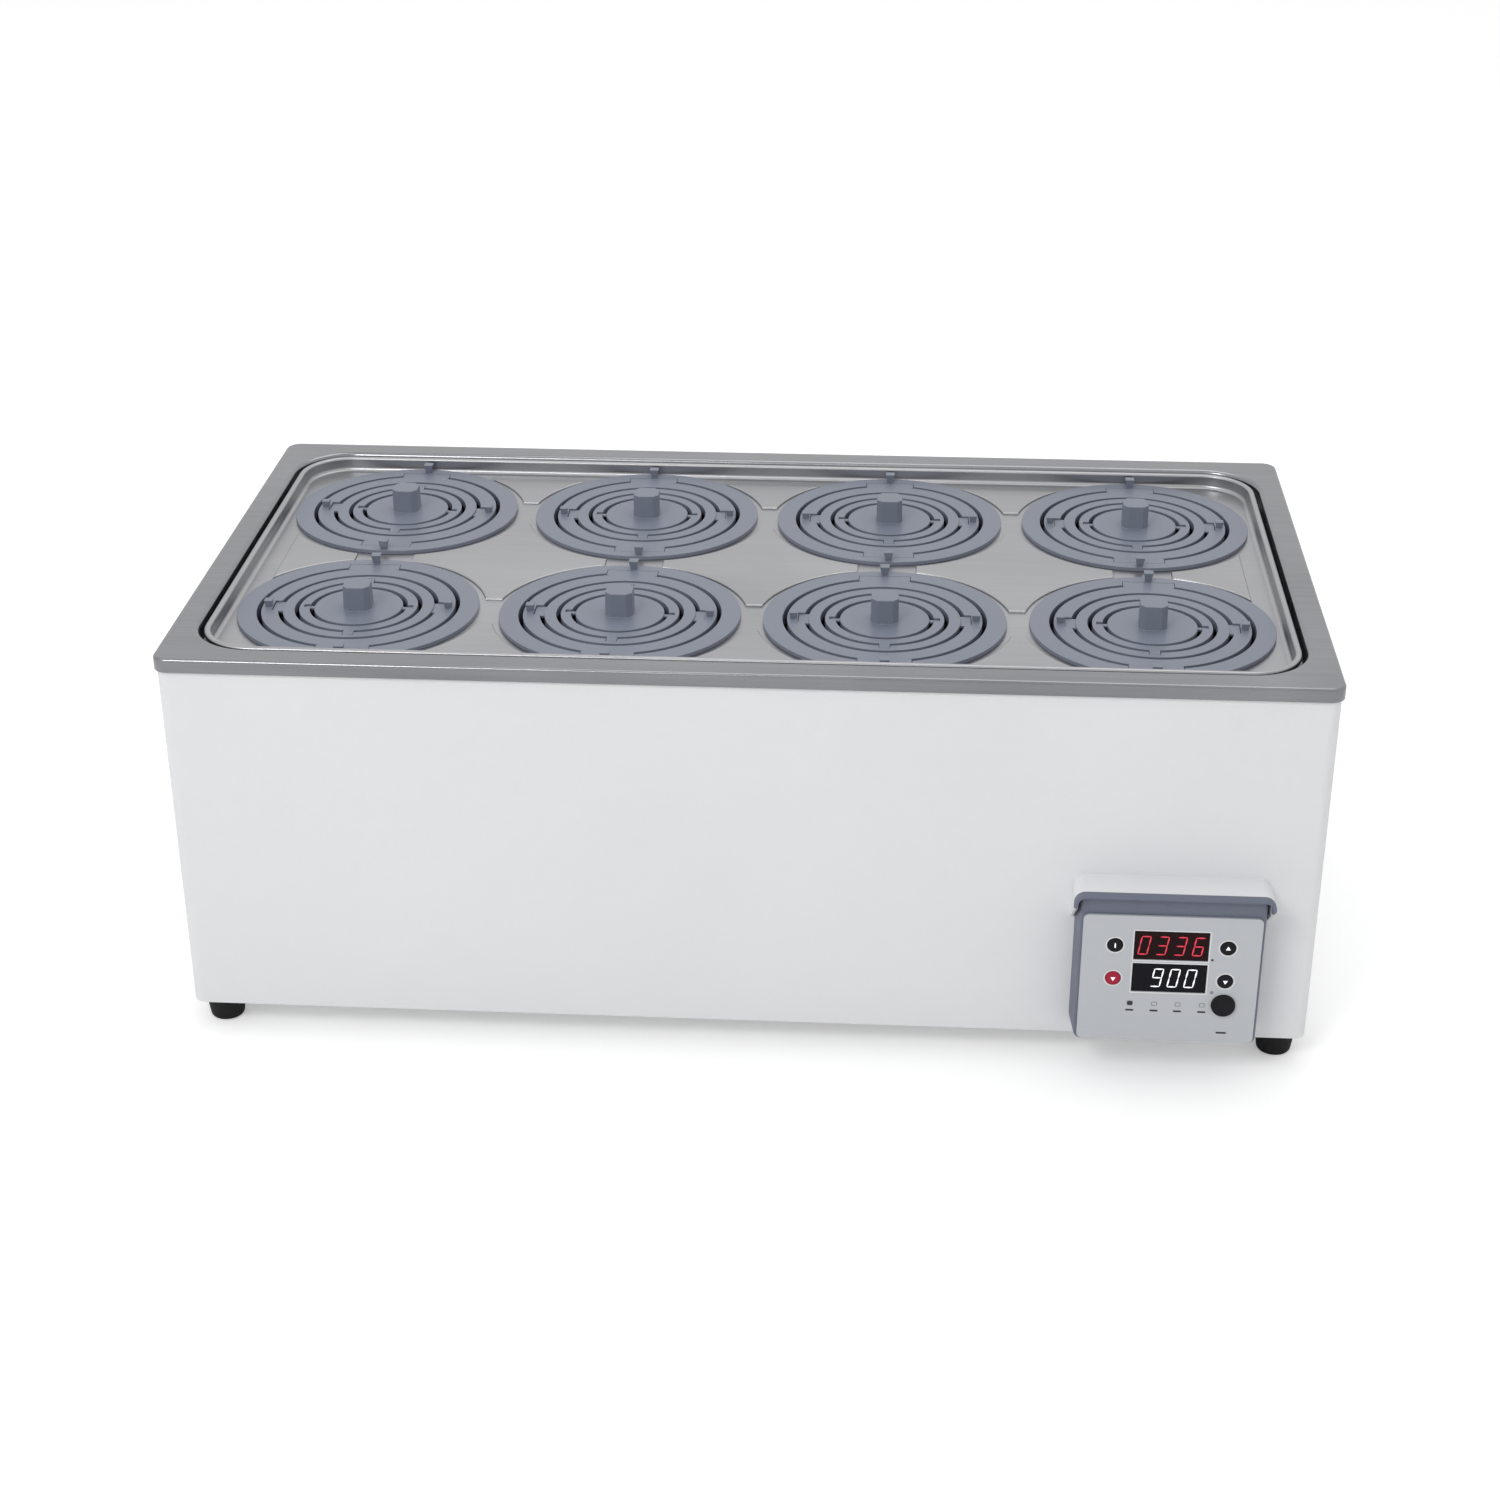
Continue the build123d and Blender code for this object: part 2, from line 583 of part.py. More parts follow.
def display_places():
    """Middles of the two displays, from the middle of the fascia."""
    return [Pos(0, DISPLAY_UPPER_Z), Pos(0, DISPLAY_LOWER_Z)]


def button_places():
    """Name and middle of each small button, from the middle of the fascia."""
    return {
        "start_button": (-BUTTON_X, BUTTON_UPPER_Z),
        "stop_button": (-BUTTON_X, BUTTON_LOWER_Z),
        "up_button": (BUTTON_X, BUTTON_UPPER_Z),
        "down_button": (BUTTON_X, BUTTON_LOWER_Z),
    }


def make_control_fascia():
    fascia = RectangleRounded(FASCIA_LENGTH, FASCIA_HEIGHT, FASCIA_CORNER)
    for place in display_places():
        fascia -= place * Rectangle(DISPLAY_LENGTH, DISPLAY_HEIGHT)
    for x, z in button_places().values():
        fascia -= Pos(x, z) * Circle(BUTTON_DIAMETER / 2)
    fascia -= Pos(BUTTON_X, POWER_Z) * Circle(POWER_DIAMETER / 2)
    return front_block(fascia, FASCIA_REACH, FASCIA_SHEET)


def make_displays():
    """Two numeric display modules between the board and the fascia."""
    front = FASCIA_REACH - DISPLAY_RECESS
    outline = Rectangle(DISPLAY_LENGTH - 2 * DISPLAY_GAP, DISPLAY_HEIGHT - 2 * DISPLAY_GAP)
    depth = front - BOARD_FRONT
    return Compound([front_block(place * outline, front, depth) for place in display_places()])


def make_control_board():
    """Circuit board with a switch behind each button."""
    margin = 2 * (HOUSING_WINDOW_MARGIN + BOARD_GAP)
    outline = Rectangle(FASCIA_LENGTH - margin, FASCIA_HEIGHT - margin)
    board = front_block(outline, BOARD_FRONT, BOARD_THICKNESS)
    switch = Rectangle(SWITCH_WIDTH, SWITCH_WIDTH)
    for x, z in button_places().values():
        reach = BUTTON_BACK - BUTTON_TRAVEL - SWITCH_GAP
        board += front_block(Pos(x, z) * switch, reach, reach - BOARD_FRONT)
    reach = BUTTON_BACK - POWER_TRAVEL - SWITCH_GAP
    return board + front_block(Pos(BUTTON_X, POWER_Z) * switch, reach, reach - BOARD_FRONT)


def make_button(x, z, diameter, proud):
    """Round button held behind the fascia by its flange."""
    face = FASCIA_REACH + proud
    place = Pos(x, z)
    button = front_block(place * Circle(diameter / 2 - BUTTON_CLEARANCE), face, face - BUTTON_BACK)
    rim = place * Circle(diameter / 2 + BUTTON_FLANGE_WIDTH)
    return button + front_block(rim, BUTTON_BACK + BUTTON_FLANGE_HEIGHT, BUTTON_FLANGE_HEIGHT)


def make_mains_inlet():
    """Flush power inlet with three blades in its socket."""
    flange = RectangleRounded(INLET_FLANGE_LENGTH, INLET_FLANGE_HEIGHT, INLET_CORNER)
    inlet = back_block(flange, INLET_FLANGE_THICKNESS, INLET_FLANGE_THICKNESS)
    inlet += back_block(Rectangle(INLET_BODY_LENGTH, INLET_BODY_HEIGHT), 0, INLET_BODY_DEPTH)
    socket = Rectangle(INLET_SOCKET_LENGTH, INLET_SOCKET_HEIGHT)
    socket = chamfer(socket.vertices().group_by(Axis.Y)[-1], INLET_EARTH_RISE)
    inlet -= back_block(socket, INLET_FLANGE_THICKNESS, INLET_SOCKET_DEPTH)
    pin = Rectangle(INLET_PIN_WIDTH, INLET_PIN_HEIGHT)
    pins = Pos(0, INLET_EARTH_RISE) * pin
    pins += Pos(-INLET_PIN_PITCH, -INLET_EARTH_RISE / 2) * pin
    pins += Pos(INLET_PIN_PITCH, -INLET_EARTH_RISE / 2) * pin
    tip = INLET_FLANGE_THICKNESS - INLET_SOCKET_DEPTH + INLET_PIN_LENGTH
    return inlet + back_block(pins, tip, INLET_PIN_LENGTH)


def main():
    os.makedirs("parts", exist_ok=True)
    save(make_tank(), "tank")
    save(make_case_shell(), "case_shell")
    save(make_base_plate(), "base_plate")
    save(make_feet(), "feet")
    save(make_insulation(), "insulation")
    save(make_heater(), "heater")
    save(make_shelf_plate(), "shelf_plate")
    save(make_temperature_probe(), "temperature_probe")
    save(make_lid_plate(), "lid_plate")
    save(make_control_housing(), "control_housing")
    save(make_control_fascia(), "control_fascia")
    save(make_displays(), "displays")
    save(make_control_board(), "control_board")
    save(make_mains_inlet(), "mains_inlet")
    for name, (x, z) in button_places().items():
        save(make_button(x, z, BUTTON_DIAMETER, BUTTON_PROUD), name)
    save(make_button(BUTTON_X, POWER_Z, POWER_DIAMETER, POWER_PROUD), "power_button")

    pieces = {"cap": make_cap()}
    for index in range(len(RING_BORES)):
        pieces[f"ring_{len(RING_BORES) - index}"] = make_ring(index)
    for number, ((x, y), turn) in enumerate(zip(cover_places(), COVER_TURNS), start=1):
        for name, piece in pieces.items():
            save(Pos(x, y, 0) * Rot(0, 0, turn) * piece, f"cover_{number}_{name}")


if __name__ == "__main__":
    main()
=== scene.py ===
"""Looks of a thermostatic bath with ring covers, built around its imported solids."""

import logging
import math
from collections.abc import Iterable, Sequence
from dataclasses import dataclass, field
from enum import Enum

import bmesh
import bpy
from bmesh.types import BMEdge, BMesh, BMFace, BMVert
from mathutils import Matrix, Vector


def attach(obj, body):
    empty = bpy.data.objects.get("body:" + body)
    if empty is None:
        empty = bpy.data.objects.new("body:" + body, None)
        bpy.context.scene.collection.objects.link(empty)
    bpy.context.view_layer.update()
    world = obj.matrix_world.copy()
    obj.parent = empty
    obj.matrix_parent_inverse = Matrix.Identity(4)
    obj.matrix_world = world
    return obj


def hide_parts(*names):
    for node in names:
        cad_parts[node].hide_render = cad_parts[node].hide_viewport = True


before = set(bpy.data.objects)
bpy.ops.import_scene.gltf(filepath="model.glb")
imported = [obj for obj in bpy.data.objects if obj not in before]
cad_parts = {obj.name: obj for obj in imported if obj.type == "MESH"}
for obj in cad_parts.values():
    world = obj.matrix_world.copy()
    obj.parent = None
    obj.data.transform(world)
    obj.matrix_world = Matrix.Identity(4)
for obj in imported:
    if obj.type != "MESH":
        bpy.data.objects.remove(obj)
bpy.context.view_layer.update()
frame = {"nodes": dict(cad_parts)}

Pair = tuple[float, float]
Triple = tuple[float, float, float]
Four = tuple[float, float, float, float]

LOG = logging.getLogger("bath")
MM = 0.001
SHARP = math.radians(40)

# Shared sizes of the bath in millimetres, before the move to the part's origin
ORIGIN_SHIFT = 11.25
CASE_FLOOR = 15.0
CASE_LENGTH = 603.0
CASE_DEPTH = 317.0
CASE_CORNER = 6.5
RIM_TOP = 222.5
LEDGE_TOP = 212.5
LID_TOP = 213.5
COVER_TOP = 215.7
HOLE_PITCH = (142.0, 143.0)
CONTROL_PLACE = (224.0, 62.5)
INLET_PLACE = (224.0, 37.5)

# Marks lie on their faces with this thickness
INK = 0.05


class Slot(Enum):
    """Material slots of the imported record."""

    ENAMEL = "white_enamel"
    STAINLESS = "stainless"
    COVER = "cover_plastic"
    HOUSING = "housing_plastic"
    FASCIA = "fascia_plastic"
    WINDOW = "display_window"
    BLACK = "black_button"
    RED = "red_button"
    RUBBER = "foot_rubber"
    WOOL = "mineral_wool"
    HEATER = "heater_steel"
    BOARD = "board_laminate"
    INLET = "black_plastic"


class Join(Enum):
    """Ways to combine two solids."""

    ADD = "UNION"
    CUT = "DIFFERENCE"


# ---------------------------------------------------------------- materials


def add_node(tree: bpy.types.NodeTree, kind: str, values: dict[str | int, object] | None = None,
             **settings: object) -> bpy.types.Node:
    """Adds a node to a tree.

    Args:
        tree: Tree that takes it.
        kind: Type of the node.
        values: Value of each input, or the socket that feeds it, by name or number.
        settings: Other settings of the node.

    Returns:
        The new node.
    """
    node = tree.nodes.new(kind)
    for name, value in settings.items():
        setattr(node, name, value)
    for name, value in (values or {}).items():
        if isinstance(value, bpy.types.NodeSocket):
            tree.links.new(value, node.inputs[name])
        else:
            node.inputs[name].default_value = value
    return node


def marks_group() -> bpy.types.ShaderNodeTree:
    """Builds the group that gives every finish its grain, its smudges and its specks.

    Returns:
        A node group with the stretch of the grain and the scales as inputs, and masks as outputs.
    """
    tree = bpy.data.node_groups.new("surface_marks", "ShaderNodeTree")
    for name, kind in (("Stretch", "NodeSocketVector"), ("Smudge Scale", "NodeSocketFloat"),
                       ("Speck Scale", "NodeSocketFloat")):
        tree.interface.new_socket(name, in_out="INPUT", socket_type=kind)
    for name in ("Grain", "Smudge", "Specks"):
        tree.interface.new_socket(name, in_out="OUTPUT", socket_type="NodeSocketFloat")
    entry = add_node(tree, "NodeGroupInput")
    place = add_node(tree, "ShaderNodeTexCoord").outputs["Object"]
    stretched = add_node(tree, "ShaderNodeVectorMath", {0: place, 1: entry.outputs["Stretch"]},
                         operation="MULTIPLY")
    grain = add_node(tree, "ShaderNodeTexNoise", {
        "Vector": stretched.outputs["Vector"], "Scale": 1.0, "Detail": 5.0, "Roughness": 0.65})
    smudge = add_node(tree, "ShaderNodeTexNoise", {
        "Vector": place, "Scale": entry.outputs["Smudge Scale"], "Detail": 3.0, "Distortion": 0.6})
    soft = add_node(tree, "ShaderNodeMapRange", {
        "Value": smudge.outputs["Fac"], "From Min": 0.3, "From Max": 0.7})
    speck = add_node(tree, "ShaderNodeTexVoronoi", {
        "Vector": place, "Scale": entry.outputs["Speck Scale"]})
    dots = add_node(tree, "ShaderNodeMapRange", {
        "Value": speck.outputs["Distance"], "From Min": 0.05, "From Max": 0.5})
    add_node(tree, "NodeGroupOutput", {
        "Grain": grain.outputs["Fac"], "Smudge": soft.outputs["Result"],
        "Specks": dots.outputs["Result"]})
    return tree


@dataclass(frozen=True)
class Finish:
    """A surface finish, made from one colour, its roughness and its marks."""

    name: str
    slot: Slot
    colour: Triple
    roughness: float
    metallic: float = 0.0
    anisotropy: float = 0.0
    coat: float = 0.0
    coat_roughness: float = 0.12
    specular: float = 0.5
    glow: float = 0.0
    stretch: Triple = (900.0, 900.0, 900.0)
    smudge_scale: float = 9.0
    speck_scale: float = 1500.0
    tone: float = 0.04
    grain_tone: float = 0.0
    rough_spread: float = 0.06
    grain_bump: float = 0.04
    speck_bump: float = 0.0

    def material(self, marks: bpy.types.ShaderNodeTree) -> bpy.types.Material:
        """Builds the material.

        Args:
            marks: The group with grain, smudges and specks.

        Returns:
            The finished material.
        """
        made = bpy.data.materials.new(self.name)
        made.use_nodes = True
        tree = made.node_tree
        links = tree.links
        shader = tree.nodes["Principled BSDF"]
        group = add_node(tree, "ShaderNodeGroup", {
            "Stretch": self.stretch, "Smudge Scale": self.smudge_scale,
            "Speck Scale": self.speck_scale}, node_tree=marks)
        smudge, grain = group.outputs["Smudge"], group.outputs["Grain"]
        greys = add_node(tree, "ShaderNodeMix", {
            "Factor": 1.0, "A": self.spread(tree, smudge, 1.0, self.tone),
            "B": self.spread(tree, grain, 1.0, self.grain_tone)},
            data_type="RGBA", blend_type="MULTIPLY")
        tint = add_node(tree, "ShaderNodeMix", {
            "Factor": 1.0, "A": greys.outputs["Result"], "B": (*self.colour, 1.0)},
            data_type="RGBA", blend_type="MULTIPLY")
        fine = add_node(tree, "ShaderNodeMath", {0: grain, 1: self.grain_bump},
                        operation="MULTIPLY")
        height = add_node(tree, "ShaderNodeMath", {
            0: group.outputs["Specks"], 1: self.speck_bump, 2: fine.outputs["Value"]},
            operation="MULTIPLY_ADD")
        bump = add_node(tree, "ShaderNodeBump", {"Distance": MM, "Height": height.outputs["Value"]})
        for name, socket in (
                ("Base Color", tint.outputs["Result"]), ("Normal", bump.outputs["Normal"]),
                ("Roughness", self.spread(tree, smudge, self.roughness, self.rough_spread))):
            links.new(socket, shader.inputs[name])
        for name, value in (("Metallic", self.metallic), ("Anisotropic", self.anisotropy),
                            ("Specular IOR Level", self.specular), ("Coat Weight", self.coat),
                            ("Coat Roughness", self.coat_roughness)):
            shader.inputs[name].default_value = value
        if self.glow:
            links.new(tint.outputs["Result"], shader.inputs["Emission Color"])
            shader.inputs["Emission Strength"].default_value = self.glow
        return made

    def spread(self, tree: bpy.types.NodeTree, mask: bpy.types.NodeSocket, middle: float,
               reach: float) -> bpy.types.NodeSocket:
        """Turns a mask into values around a middle one.

        Args:
            tree: Node tree of the material.
            mask: Mask from 0 to 1.
            middle: The middle value.
            reach: How far the values depart from it.

        Returns:
            The socket with the values.
        """
        span = add_node(tree, "ShaderNodeMapRange", {
            "Value": mask, "To Min": middle - reach, "To Max": middle + reach})
        return span.outputs["Result"]


ENAMEL = Finish("white_powder_coat", Slot.ENAMEL, (0.81, 0.82, 0.835), 0.38, coat=0.15,
                tone=0.012, rough_spread=0.04, grain_bump=0.02, speck_bump=0.03)
STAINLESS = Finish("satin_stainless", Slot.STAINLESS, (0.285, 0.288, 0.303), 0.25, metallic=1.0,
                   anisotropy=0.35, stretch=(9.0, 420.0, 420.0), smudge_scale=7.0,
                   tone=0.08, grain_tone=0.17, rough_spread=0.05, grain_bump=0.03)
LID_STEEL = Finish("lid_stainless", Slot.STAINLESS, (0.41, 0.412, 0.424), 0.36, metallic=1.0,
                   anisotropy=0.3, stretch=(12.0, 420.0, 420.0), smudge_scale=6.0,
                   tone=0.07, grain_tone=0.09, rough_spread=0.06, grain_bump=0.03)
COVER = Finish("cover_plastic", Slot.COVER, (0.190, 0.210, 0.265), 0.37, tone=0.06,
               rough_spread=0.07, grain_bump=0.03, speck_bump=0.02)
HOUSING = Finish("housing_plastic", Slot.HOUSING, (0.150, 0.165, 0.220), 0.48, tone=0.05,
                 grain_bump=0.05, speck_bump=0.05)
FASCIA = Finish("fascia_film", Slot.FASCIA, (0.53, 0.55, 0.58), 0.45, tone=0.015,
                rough_spread=0.04, speck_bump=0.02)
WINDOW = Finish("display_glass", Slot.WINDOW, (0.005, 0.005, 0.008), 0.14, specular=0.14,
                tone=0.05, rough_spread=0.03, grain_bump=0.0)
WINDOW_RED = Finish("display_glass_red", Slot.WINDOW, (0.014, 0.002, 0.003), 0.14,
                    specular=0.14, tone=0.05, rough_spread=0.03, grain_bump=0.0)
LIT_RED = Finish("lit_red", Slot.WINDOW, (0.62, 0.030, 0.060), 0.4, glow=0.5, tone=0.06)
# Glows: real light on the lower display's digits, a painted highlight on the button symbols
LIT_WHITE = Finish("lit_white", Slot.WINDOW, (0.86, 0.87, 0.88), 0.4, glow=0.55, tone=0.04)
BLACK = Finish("black_key", Slot.BLACK, (0.008, 0.008, 0.011), 0.34, specular=0.18, tone=0.08)
RED = Finish("red_key", Slot.RED, (0.38, 0.012, 0.040), 0.36, specular=0.25, tone=0.05)
WHITE_INK = Finish("white_ink", Slot.FASCIA, (0.80, 0.80, 0.81), 0.5, tone=0.03)
DARK_INK = Finish("dark_ink", Slot.FASCIA, (0.030, 0.030, 0.036), 0.5, tone=0.05)
GREY_INK = Finish("grey_ink", Slot.FASCIA, (0.24, 0.25, 0.27), 0.5, tone=0.05)
RUBBER = Finish("foot_rubber", Slot.RUBBER, (0.009, 0.009, 0.010), 0.62, specular=0.25, tone=0.1,
                rough_spread=0.08, speck_bump=0.08)
WOOL = Finish("mineral_wool", Slot.WOOL, (0.55, 0.48, 0.26), 0.9, tone=0.12, grain_bump=0.6)
HEATER = Finish("heater_steel", Slot.HEATER, (0.40, 0.40, 0.41), 0.3, metallic=1.0, tone=0.08,
                stretch=(60.0, 600.0, 600.0), grain_tone=0.06)
BOARD = Finish("board_laminate", Slot.BOARD, (0.02, 0.15, 0.06), 0.35, tone=0.08)
INLET = Finish("inlet_plastic", Slot.INLET, (0.011, 0.011, 0.012), 0.42, specular=0.3, tone=0.08,
               speck_bump=0.04)
BLADE = Finish("inlet_blades", Slot.HEATER, (0.62, 0.58, 0.48), 0.28, metallic=1.0, tone=0.06)
ALL_FINISHES = (ENAMEL, STAINLESS, LID_STEEL, COVER, HOUSING, FASCIA, WINDOW, WINDOW_RED, LIT_RED,
                LIT_WHITE, BLACK, RED, WHITE_INK, DARK_INK, GREY_INK, RUBBER, WOOL, HEATER, BOARD,
                INLET, BLADE)


# ---------------------------------------------------------------- mesh tools


@dataclass(frozen=True)
class Outline:
    """A flat rounded rectangle at a height, in millimetres."""

    length: float
    depth: float
    corner: float
    height: float
    centre: Pair = (0.0, 0.0)

    def draw(self, bm: BMesh, steps: int) -> list[BMEdge]:
        """Draws the outline as a loop of edges.

        Args:
            bm: Mesh to draw in.
            steps: Edges in each corner.

        Returns:
            The loop's edges.
        """
        earlier = set(bm.faces)
        corners = bmesh.ops.create_grid(bm, x_segments=1, y_segments=1, size=0.5)["verts"]
        bmesh.ops.scale(bm, vec=(self.length, self.depth, 1.0), verts=corners)
        bmesh.ops.translate(bm, vec=(*self.centre, self.height), verts=corners)
        bmesh.ops.bevel(bm, geom=corners, offset=self.corner, offset_type="OFFSET",
                        segments=steps, profile=0.5, affect="VERTICES", material=-1)
        face = next(f for f in bm.faces if f not in earlier)
        edges = list(face.edges)
        bmesh.ops.delete(bm, geom=[face], context="FACES_ONLY")
        return edges

    def fill(self, bm: BMesh, steps: int) -> BMFace:
        """Draws the outline as a flat face.

        Args:
            bm: Mesh to draw in.
            steps: Edges in each corner.

        Returns:
            The face.
        """
        return bmesh.ops.contextual_create(bm, geom=self.draw(bm, steps))["faces"][0]


def stack(outlines: Sequence[Outline], steps: int = 10, close_first: bool = False,
          close_last: bool = False) -> tuple[BMesh, list[list[BMEdge]]]:
    """Skins a row of outlines.

    Args:
        outlines: Outlines in order.
        steps: Edges in each corner.
        close_first: Whether a face closes the first outline.
        close_last: Whether a face closes the last outline.

    Returns:
        The mesh, and the edges of each outline.
    """
    bm = bmesh.new()
    loops = [outline.draw(bm, steps) for outline in outlines]
    for low, high in zip(loops, loops[1:]):
        bmesh.ops.bridge_loops(bm, edges=low + high)
    if close_first:
        bmesh.ops.contextual_create(bm, geom=loops[0])
    if close_last:
        bmesh.ops.contextual_create(bm, geom=loops[-1])
    return bm, loops


def soften(bm: BMesh, edges: Iterable[BMEdge], radius: float, segments: int = 3) -> None:
    """Rounds edges.

    Args:
        bm: Mesh that holds the edges.
        edges: Edges to round.
        radius: Radius in millimetres.
        segments: Faces across the round.
    """
    bmesh.ops.bevel(bm, geom=list(edges), offset=radius, offset_type="OFFSET", segments=segments,
                    profile=0.5, affect="EDGES", material=-1)


def soften_sharp(bm: BMesh, radius: float, segments: int = 2, angle: float = 35.0) -> None:
    """Rounds every edge that is sharper than an angle.

    Args:
        bm: Mesh to work on.
        radius: Radius in millimetres.
        segments: Faces across the round.
        angle: Least angle between the faces, in degrees.
    """
    sharp = [e for e in bm.edges if len(e.link_faces) == 2
             and e.calc_face_angle() > math.radians(angle)]
    soften(bm, sharp, radius, segments)


def turned(section: Sequence[Pair], steps: int, closed: bool = True) -> BMesh:
    """Turns a section round the Z axis.

    Args:
        section: Radius and height of each point.
        steps: Faces in a full turn.
        closed: Whether the last point joins the first.

    Returns:
        A mesh with the turned solid.
    """
    bm = bmesh.new()
    verts = [bm.verts.new((radius, 0.0, height)) for radius, height in section]
    pairs = list(zip(verts, verts[1:]))
    if closed:
        pairs.append((verts[-1], verts[0]))
    edges = [bm.edges.new(pair) for pair in pairs]
    bmesh.ops.spin(bm, geom=verts + edges, cent=(0, 0, 0), axis=(0, 0, 1), dvec=(0, 0, 0),
                   angle=math.tau, steps=steps, use_merge=True, use_duplicate=False)
    bmesh.ops.remove_doubles(bm, verts=bm.verts, dist=1e-4)
    face_out(bm)
    return bm


def rounded(section: Sequence[Pair], radius: float, steps: int = 2) -> list[Pair]:
    """Rounds the square corners of a closed section.

    Args:
        section: Corners in order.
        radius: Radius of each round.
        steps: Edges in each round.

    Returns:
        The points of the rounded section.
    """
    corners = [Vector(corner) for corner in section]
    points = []
    for before, corner, after in zip(corners[-1:] + corners[:-1], corners,
                                     corners[1:] + corners[:1]):
        back, ahead = ((end - corner).normalized() * radius for end in (before, after))
        for step in range(steps + 1):
            angle = math.pi / 2 * step / steps
            point = corner + back * (1 - math.sin(angle)) + ahead * (1 - math.cos(angle))
            points.append((point.x, point.y))
    return points


def disc(radius: float, low: float, high: float, steps: int) -> BMesh:
    """Makes a disc about the Z axis.

    Args:
        radius: Its radius.
        low: Height of its underside.
        high: Height of its top.
        steps: Faces in a full turn.

    Returns:
        A mesh with the disc.
    """
    return turned(((0.0, low), (radius, low), (radius, high), (0.0, high)), steps, closed=False)


def shift(bm: BMesh, *way: float) -> BMesh:
    """Moves a whole mesh by a vector and returns it."""
    bmesh.ops.translate(bm, vec=way, verts=bm.verts)
    return bm


def turn_flat(bm: BMesh, angle: float, verts: Sequence[BMVert]) -> None:
    """Turns vertices about the Z axis by an angle in radians."""
    bmesh.ops.rotate(bm, cent=(0, 0, 0), matrix=Matrix.Rotation(angle, 3, "Z"), verts=verts)


def face_out(bm: BMesh) -> None:
    """Turns every face of a solid outward."""
    bmesh.ops.recalc_face_normals(bm, faces=bm.faces)


def block(bm: BMesh, size: Sequence[float], centre: Sequence[float], taper: float = 1.0) -> None:
    """Adds a block, its top scaled by a taper.

    Args:
        bm: Mesh to build in.
        size: Length, depth and height.
        centre: Middle of the block.
        taper: Scale of the top face.
    """
    verts = bmesh.ops.create_cube(bm, size=1.0)["verts"]
    top = [v for v in verts if v.co.z > 0]
    bmesh.ops.scale(bm, vec=(taper, taper, 1.0), verts=top)
    bmesh.ops.scale(bm, vec=size, verts=verts)
    bmesh.ops.translate(bm, vec=centre, verts=verts)


def face_up(bm: BMesh) -> None:
    """Turns an open sheet so that its highest flat face looks up.

    Args:
        bm: Mesh of the sheet.
    """
    face_out(bm)
    flat = [f for f in bm.faces if abs(f.normal.z) > 0.95]
    if max(flat, key=lambda f: f.calc_center_median().z).normal.z < 0:
        bmesh.ops.reverse_faces(bm, faces=bm.faces)


def as_object(bm: BMesh, name: str) -> bpy.types.Object:
    """Makes an object from a mesh in progress and frees it.

    Args:
        bm: Finished bmesh.
        name: Name of the object.

    Returns:
        The new object.
    """
    mesh = bpy.data.meshes.new(name)
    bm.to_mesh(mesh)
    bm.free()
    made = bpy.data.objects.new(name, mesh)
    bpy.context.scene.collection.objects.link(made)
    return made


def in_order(bm: BMesh) -> BMesh:
    """Rebuilds a mesh with its elements in order of place, and frees the old one.

    The exact solver and the bevel hand over the same faces each time, but in an order that
    changes, and the steps after them would then give another mesh in each run.

    Args:
        bm: Mesh to rebuild.

    Returns:
        The rebuilt mesh.
    """
    def spot(vert: BMVert) -> tuple[float, ...]:
        """Returns the vertex's place in thousandths of a millimetre, then its exact place."""
        return (*(math.floor(part * 1000 + 0.37) for part in vert.co), *vert.co)

    verts = sorted(bm.verts, key=spot)
    rank = {vert: number for number, vert in enumerate(verts)}
    rings = []
    for face in bm.faces:
        ring = [rank[vert] for vert in face.verts]
        start = ring.index(min(ring))
        rings.append(ring[start:] + ring[:start])
    made = bmesh.new()
    fresh = [made.verts.new(vert.co) for vert in verts]
    for ring in sorted(rings):
        made.faces.new([fresh[number] for number in ring])
    bm.free()
    return made


def combine(base: BMesh, tools: Sequence[tuple[Join, BMesh]]) -> BMesh:
    """Adds solids to a base and cuts others from it.

    Args:
        base: Solid to start from.
        tools: Each operation with its solid, in order.

    Returns:
        The combined solid.
    """
    body = as_object(base, "work_base")
    cutters = []
    for join, tool in tools:
        cutter = as_object(tool, "work_tool")
        cutters.append(cutter)
        step = body.modifiers.new("combine", "BOOLEAN")
        step.operation = join.value
        step.solver = "EXACT"
        step.object = cutter
    bpy.context.view_layer.update()
    graph = bpy.context.evaluated_depsgraph_get()
    mesh = bpy.data.meshes.new_from_object(body.evaluated_get(graph))
    made = bmesh.new()
    made.from_mesh(mesh)
    for used in (body, *cutters):
        bpy.data.meshes.remove(used.data)
    bpy.data.meshes.remove(mesh)
    made = in_order(made)
    bmesh.ops.remove_doubles(made, verts=made.verts, dist=1e-3)
    bmesh.ops.dissolve_limit(made, angle_limit=math.radians(0.5), verts=made.verts,
                             edges=made.edges)
    return made


# ---------------------------------------------------------------- sub-assemblies


